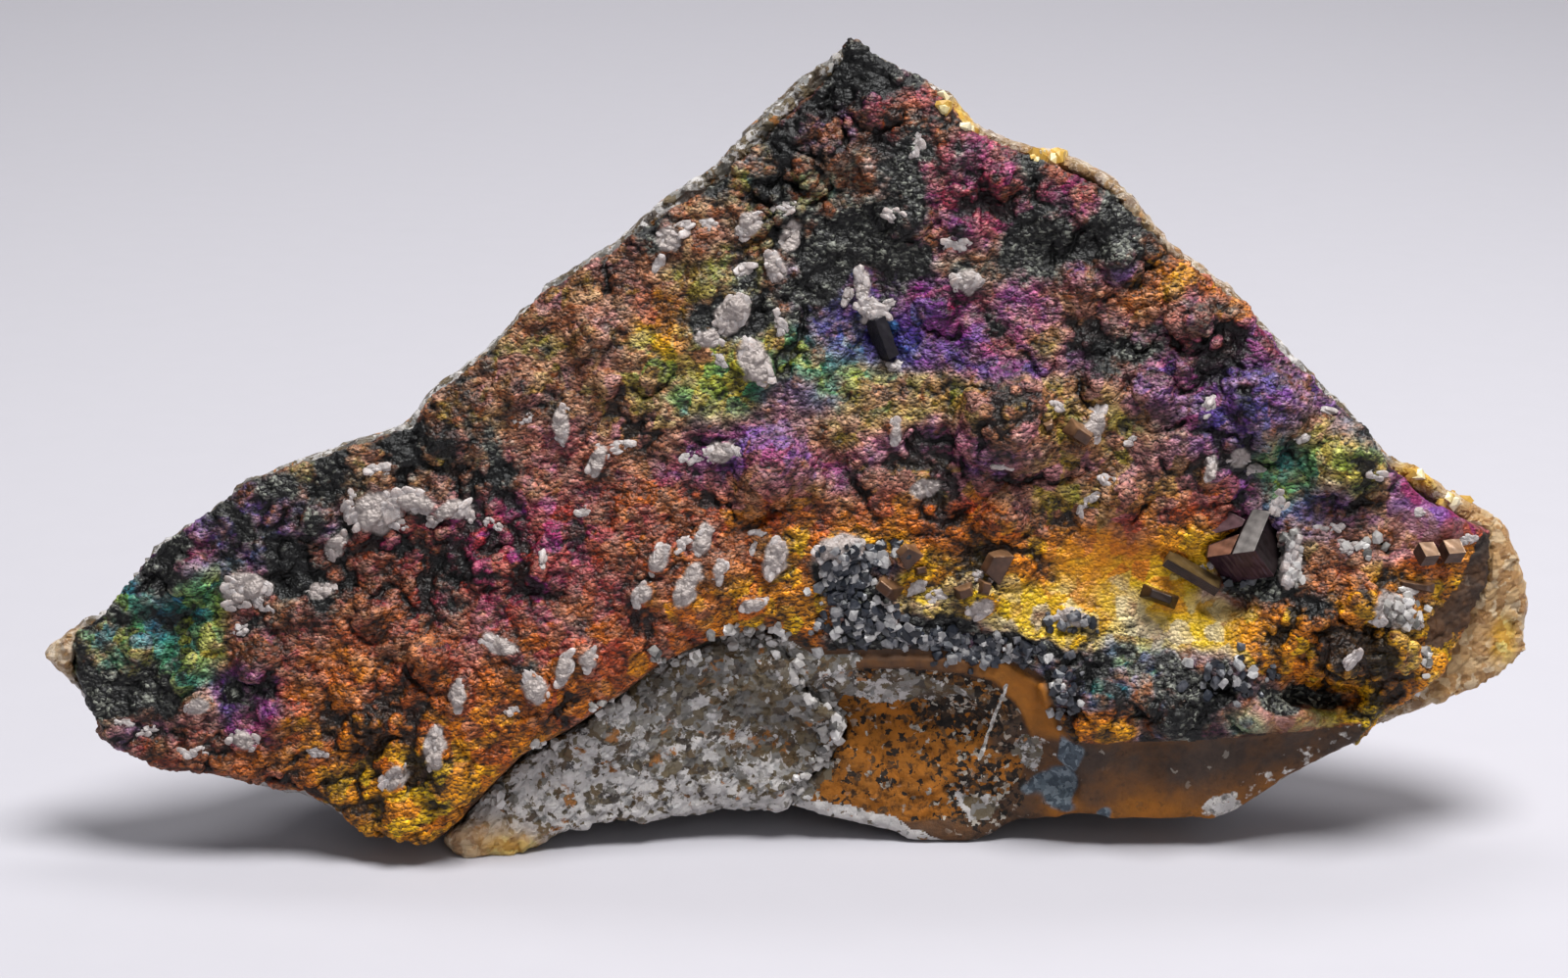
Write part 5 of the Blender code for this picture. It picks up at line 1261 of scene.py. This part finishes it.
def add_plates(block, colours):
    """Adds the block's plates to its mesh, each one a sheared slab with worn edges."""
    corner = max(block.verts, key=lambda vert: vert.co.z).co.copy()
    for outline, under, top, side in BLOCK_PLATES:
        plate = bmesh.new()
        rim = bmesh.ops.create_circle(plate, cap_ends=True, segments=len(outline), radius=1.0)["verts"]
        for vert, (u, v) in zip(rim, outline):
            rise = PLATE_FALL[0] * (u - corner.x) + PLATE_FALL[1] * (v - corner.y)
            vert.co = (u, v, corner.z + rise - under)
        deep = bmesh.ops.extrude_face_region(plate, geom=list(plate.faces))["geom"]
        deep = [part for part in deep if isinstance(part, bmesh.types.BMVert)]
        bmesh.ops.translate(plate, vec=(0, 0, -PLATE_THICKNESS), verts=deep)
        bmesh.ops.recalc_face_normals(plate, faces=plate.faces)
        bmesh.ops.bevel(plate, geom=list(plate.edges), offset=0.07, segments=2, profile=0.5,
                        affect="EDGES", material=-1)
        bmesh.ops.triangulate(plate, faces=plate.faces)
        bmesh.ops.subdivide_edges(plate, edges=list(plate.edges), cuts=5, use_grid_fill=True)
        plate.normal_update()
        for vert in plate.verts:
            mix = min(1.0, max(0.0, (vert.normal.z - 0.5) / 0.3))
            both = zip(linear(top)[:3], linear(side)[:3])
            colours.append([mix * high + (1 - mix) * low for high, low in both])
        append_to(block, plate)


def with_plates(mesh):
    """The block's mesh together with its plates, each point keeping its own colour: the crystal's painted
    light and shade, and the plates' colours.
    """
    crystal_painted_light = np.empty(len(mesh.vertices) * 4, np.float32)
    mesh.attributes["tone_and_painted_light"].data.foreach_get("color", crystal_painted_light)
    colours = []
    block = bmesh.new()
    block.from_mesh(mesh)
    bpy.data.meshes.remove(mesh)
    add_plates(block, colours)
    mesh = as_mesh(block, "block_crystal")
    mesh.attributes.remove(mesh.attributes["tone_and_painted_light"])
    store_tone_and_painted_light(mesh, np.concatenate([crystal_painted_light.reshape(-1, 4)[:, :3], np.array(colours)]))
    return mesh


def add_pale_crystal(pale, ground, dice, scale, row, sunk):
    """Adds a pale crystal: rounded flakes along its length, narrower towards its ends."""
    u, v, length, width, turn = row
    height, lean = ground.seat(u, v, 0.35 * width)
    tall = TALL_PALE.get((u, v), 0.0)
    middle = Vector((u, v, height - sunk + tall * 0.3))
    crystal = bmesh.new()
    count = FEWEST_FLAKES + int(length * width / FLAKE_AREA)
    angle = math.radians(turn)
    way, side = Vector((math.cos(angle), math.sin(angle), 0)), Vector((-math.sin(angle), math.cos(angle), 0))
    for number in range(count):
        along = (number + 0.5 - count / 2) * 0.84 * length / count
        narrow = math.sqrt(max(0.12, 1 - (2.1 * along / length) ** 2))
        step = way * along + side * dice.uniform(-0.32, 0.32) * width * narrow
        step.z = dice.uniform(-0.1, 0.08)
        loose = Vector((dice.uniform(-0.4, 0.4), dice.uniform(-0.4, 0.4), 0))
        axes = turned((lean + loose).normalized(), angle + dice.uniform(-0.5, 0.5))
        size = 0.4 * dice.uniform(0.5, 1.1) * math.sqrt(width)
        half = (size * dice.uniform(1.0, 1.8), size * dice.uniform(0.6, 0.9),
                dice.uniform(0.15, 0.24) + tall * 0.25)
        add_grain(crystal, middle + step, axes, [scale * part for part in half], dice,
                  boxy=dice.uniform(0.6, 0.9), uneven=0.1, fineness=2)
    append_to(pale, crystal)


def strewn_grains(name, ground, dice, drifts, sizes):
    """Quartz grains strewn on the druse in drifts, each with a shade of its own."""
    grit = bmesh.new()
    shades = []
    for u, v, half_u, half_v, count in drifts:
        drift = bmesh.new()
        for _ in range(count):
            place_u, place_v = dice.gauss(u, half_u * 0.55), dice.gauss(v, half_v * 0.55)
            height = ground.height(place_u, place_v)
            if height is None:
                continue
            size = dice.uniform(*sizes)
            lean = Vector((dice.uniform(-0.5, 0.5), dice.uniform(-0.5, 0.5), 1)).normalized()
            axes = turned(lean, dice.uniform(0, math.tau))
            half = (size * dice.uniform(0.9, 1.5), size, size * 0.8)
            made = add_grain(drift, Vector((place_u, place_v, height + GRIT_RAISED)), axes, half, dice,
                             boxy=0.5, uneven=0.3, fineness=1)
            shades += [dice.random()] * len(made)
        append_to(grit, drift)
    mesh = as_mesh(grit, name)
    store(mesh, "shade", np.array(shades))
    return mesh


class BuildPaleCrystals(bpy.types.Operator):
    """Stand the pale crystals and strew the quartz grains on the druse"""

    bl_idname = "specimen.build_pale_crystals"
    bl_label = "Pale crystals"

    def execute(self, context):
        settings = context.scene.specimen_crystals
        dice = random.Random(settings.seed)
        ground = Ground()
        pale = bmesh.new()
        for table, sunk in ((PALE_ON_LUMPS, LUMP_TOP), (PALE_ON_CRUST, CRUST_SUNK)):
            for row in table:
                add_pale_crystal(pale, ground, dice, settings.pale_scale, row, sunk)
        mesh = as_mesh(pale, "pale_crystals")
        mesh.polygons.foreach_set("use_smooth", np.zeros(len(mesh.polygons), bool))
        add_piece("pale_crystals", mesh, (frosted_material(settings),))
        for name, drifts, sizes, stops in GRIT:
            mesh = strewn_grains(name, ground, dice, drifts, sizes)
            mesh.polygons.foreach_set("use_smooth", np.zeros(len(mesh.polygons), bool))
            add_piece(name, mesh, (grit_material(name, stops),))
        return {"FINISHED"}


class BuildDarkCrystals(bpy.types.Operator):
    """Finish the dark block, bar, cubes and prism, and stand the brown wedges"""

    bl_idname = "specimen.build_dark_crystals"
    bl_label = "Dark crystals"

    def execute(self, context):
        settings = context.scene.specimen_crystals
        dice = random.Random(settings.seed + 1)
        material = dark_crystal_material(settings)
        for name in DARK_FACE_LIGHT:
            mesh = dark_crystal_mesh(name)
            if name == "block_crystal":
                mesh = with_plates(mesh)
            add_piece(name + "_finished", mesh, (material,), (name,))
        ground = Ground()
        wedges = bmesh.new()
        for u, v, length, width, thick, turn in BROWN_WEDGES:
            height, lean = ground.seat(u, v, 0.35 * width)
            loose = Vector((dice.uniform(-0.3, 0.3), dice.uniform(-0.3, 0.3), 0))
            axes = turned((lean + loose).normalized(), math.radians(turn))
            for vert in bmesh.ops.create_cube(wedges, size=1.0)["verts"]:
                taper = WEDGE_TAPER if vert.co.z > 0 else 1.0
                part = (vert.co.x * length * taper, vert.co.y * width * taper, vert.co.z * thick)
                vert.co = Vector((u, v, height)) + axes @ Vector(part)
        bmesh.ops.bevel(wedges, geom=[*wedges.verts, *wedges.edges], offset=0.1, segments=2, profile=0.5,
                        affect="EDGES", material=-1)
        mesh = as_mesh(wedges, "brown_wedges")
        points, normals = vertex_values(mesh), vertex_values(mesh, "normal")
        black = np.hypot(points[:, 0] - BLACK_WEDGE[0], points[:, 1] - BLACK_WEDGE[1]) < BLACK_REACH
        store_tone_and_painted_light(mesh, painted_face_light(normals, WEDGE_FACE_LIGHT) * np.where(black, 0.25, 1.0)[:, None])
        add_piece("brown_wedges", mesh, (material,))
        return {"FINISHED"}


class StageSettings(bpy.types.PropertyGroup):
    floor_colour: FloatVectorProperty(name="Floor", description="The colour of the floor and the backdrop",
                                      default=linear("#b4b2b8")[:3], subtype="COLOR", min=0, max=1)
    key_power: FloatProperty(name="Overhead light", description="Power of the large soft light overhead",
                             default=6.0, min=0, max=50, unit="POWER")
    fill_power: FloatProperty(name="Front light", description="Power of the soft light in front",
                              default=0.55, min=0, max=50, unit="POWER")
    backdrop_power: FloatProperty(name="Backdrop light", description="Power of the light on the backdrop",
                                  default=12.0, min=0, max=100, unit="POWER")
    lens: FloatProperty(name="Lens", description="Focal length of the camera",
                        default=66.6, min=20, max=200, unit="CAMERA")
    distance: FloatProperty(name="Camera distance", description="From the camera to the middle of the druse",
                            default=0.237, min=0.1, max=1.0, unit="LENGTH", precision=4)
    elevation: FloatProperty(name="Camera height", description="How far the camera looks down",
                             default=math.radians(15), min=0, max=math.radians(80), subtype="ANGLE")


def paper_material(colour):
    """Matt paper in a sweep, with the faint mottling of its fibres, so that nothing shines in it."""
    made, add, shader, place = new_material("matt_paper_sweep")
    fibres = add("TexNoise", {"Scale": 1 / (6 * MM), "Detail": 4.0, "Vector": place})
    light = tuple(min(1.0, channel * 1.03) for channel in colour)
    mottled = add("Mix", {6: (*colour, 1.0), 7: (*light, 1.0), 0: fibres}, data_type="RGBA")
    connect(shader, {"Base Color": mottled})
    shader.inputs["Roughness"].default_value = 0.9
    shader.inputs["Specular IOR Level"].default_value = 0.2
    return made


def area_light(name, place, size, power):
    """A soft round lamp that faces the druse."""
    light = bpy.data.lights.new(name, "AREA")
    light.shape = "DISK"
    light.size = size
    light.energy = power
    made = bpy.data.objects.new(name, light)
    made.location = place
    made.rotation_euler = (Vector(FACE_MIDDLE) - Vector(place)).to_track_quat("-Z", "Y").to_euler()
    bpy.context.scene.collection.objects.link(made)
    return made


# The paper sweep in metres: half the floor's width, the wall's height and the bend between them.
SWEEP_HALF, WALL_HEIGHT, SWEEP_BEND = 1.5, 2.0, 0.8


class BuildStage(bpy.types.Operator):
    """Set up the floor, the soft studio lights and the camera"""

    bl_idname = "specimen.build_stage"
    bl_label = "Stage"

    def execute(self, context):
        settings = context.scene.specimen_stage
        sweep = bmesh.new()
        bmesh.ops.create_grid(sweep, x_segments=1, y_segments=1, size=SWEEP_HALF)
        far = [edge for edge in sweep.edges if all(vert.co.y > 1.0 for vert in edge.verts)]
        wall = bmesh.ops.extrude_edge_only(sweep, edges=far)
        raised = [element for element in wall["geom"] if isinstance(element, bmesh.types.BMVert)]
        bmesh.ops.translate(sweep, vec=(0, 0, WALL_HEIGHT), verts=raised)
        bmesh.ops.bevel(sweep, geom=far, offset=SWEEP_BEND, segments=24, profile=0.5, affect="EDGES",
                        material=-1)
        for face in sweep.faces:
            face.smooth = True
        mesh = as_mesh(sweep, "paper_sweep")
        mesh.materials.append(paper_material(tuple(settings.floor_colour)))
        floor = bpy.data.objects.new("paper_sweep", mesh)
        context.scene.collection.objects.link(floor)

        world = bpy.data.worlds.new("soft_room")
        world.use_nodes = True
        world.node_tree.nodes["Background"].inputs["Color"].default_value = linear("#d6dae0")
        world.node_tree.nodes["Background"].inputs["Strength"].default_value = 0.22
        context.scene.world = world
        # Each lamp's place and width are in metres.
        area_light("overhead_softbox", (0.11, -0.12, 0.61), 0.34, settings.key_power)
        area_light("front_softbox", (0.25, -0.65, 0.28), 0.5, settings.fill_power)
        backdrop = area_light("backdrop_light", (0, 0.55, 1.1), 0.8, settings.backdrop_power)
        towards_wall = Vector((0, 1.5, 0.2)) - backdrop.location
        backdrop.rotation_euler = towards_wall.to_track_quat("-Z", "Y").to_euler()

        back = Vector((0, -math.cos(settings.elevation), math.sin(settings.elevation)))
        data = bpy.data.cameras.new("studio_camera")
        data.lens = settings.lens
        data.sensor_width = 36.0
        camera = bpy.data.objects.new("studio_camera", data)
        camera.location = Vector(FACE_MIDDLE) + back * settings.distance
        camera.rotation_euler = (math.radians(90) - settings.elevation, 0, 0)
        context.scene.collection.objects.link(camera)
        context.scene.camera = camera
        context.scene.view_settings.view_transform = "Standard"
        return {"FINISHED"}


class SpecimenPanel(bpy.types.Panel):
    """Lists the pieces of the specimen and their settings"""

    bl_idname = "VIEW3D_PT_specimen"
    bl_label = "Iridescent goethite"
    bl_space_type = "VIEW_3D"
    bl_region_type = "UI"
    bl_category = "Specimen"

    def draw(self, context):
        for label, group, operator in PANEL_ROWS:
            box = self.layout.box()
            box.label(text=label)
            settings = getattr(context.scene, group)
            for name in settings.bl_rna.properties.keys():
                if name not in ("rna_type", "name"):
                    box.prop(settings, name)
            box.operator(operator)


PANEL_ROWS = (
    ("Goethite druse", "specimen_druse", "specimen.build_druse"),
    ("Quartz", "specimen_quartz", "specimen.build_quartz"),
    ("Pale crystals", "specimen_crystals", "specimen.build_pale_crystals"),
    ("Dark crystals", "specimen_crystals", "specimen.build_dark_crystals"),
    ("Stage", "specimen_stage", "specimen.build_stage"),
)
GROUPS = {
    "specimen_druse": DruseSettings,
    "specimen_quartz": QuartzSettings,
    "specimen_crystals": CrystalSettings,
    "specimen_stage": StageSettings,
}
CLASSES = (*GROUPS.values(), BuildDruse, BuildQuartz, BuildPaleCrystals, BuildDarkCrystals, BuildStage,
           SpecimenPanel)


def register():
    for made in CLASSES:
        bpy.utils.register_class(made)
    for name, group in GROUPS.items():
        setattr(bpy.types.Scene, name, PointerProperty(type=group))


def unregister():
    for name in GROUPS:
        delattr(bpy.types.Scene, name)
    for made in reversed(CLASSES):
        bpy.utils.unregister_class(made)


def main():
    register()
    bpy.ops.specimen.build_druse()
    bpy.ops.specimen.build_quartz()
    bpy.ops.specimen.build_pale_crystals()
    bpy.ops.specimen.build_dark_crystals()
    bpy.ops.specimen.build_stage()


if __name__ == "__main__":
    main()
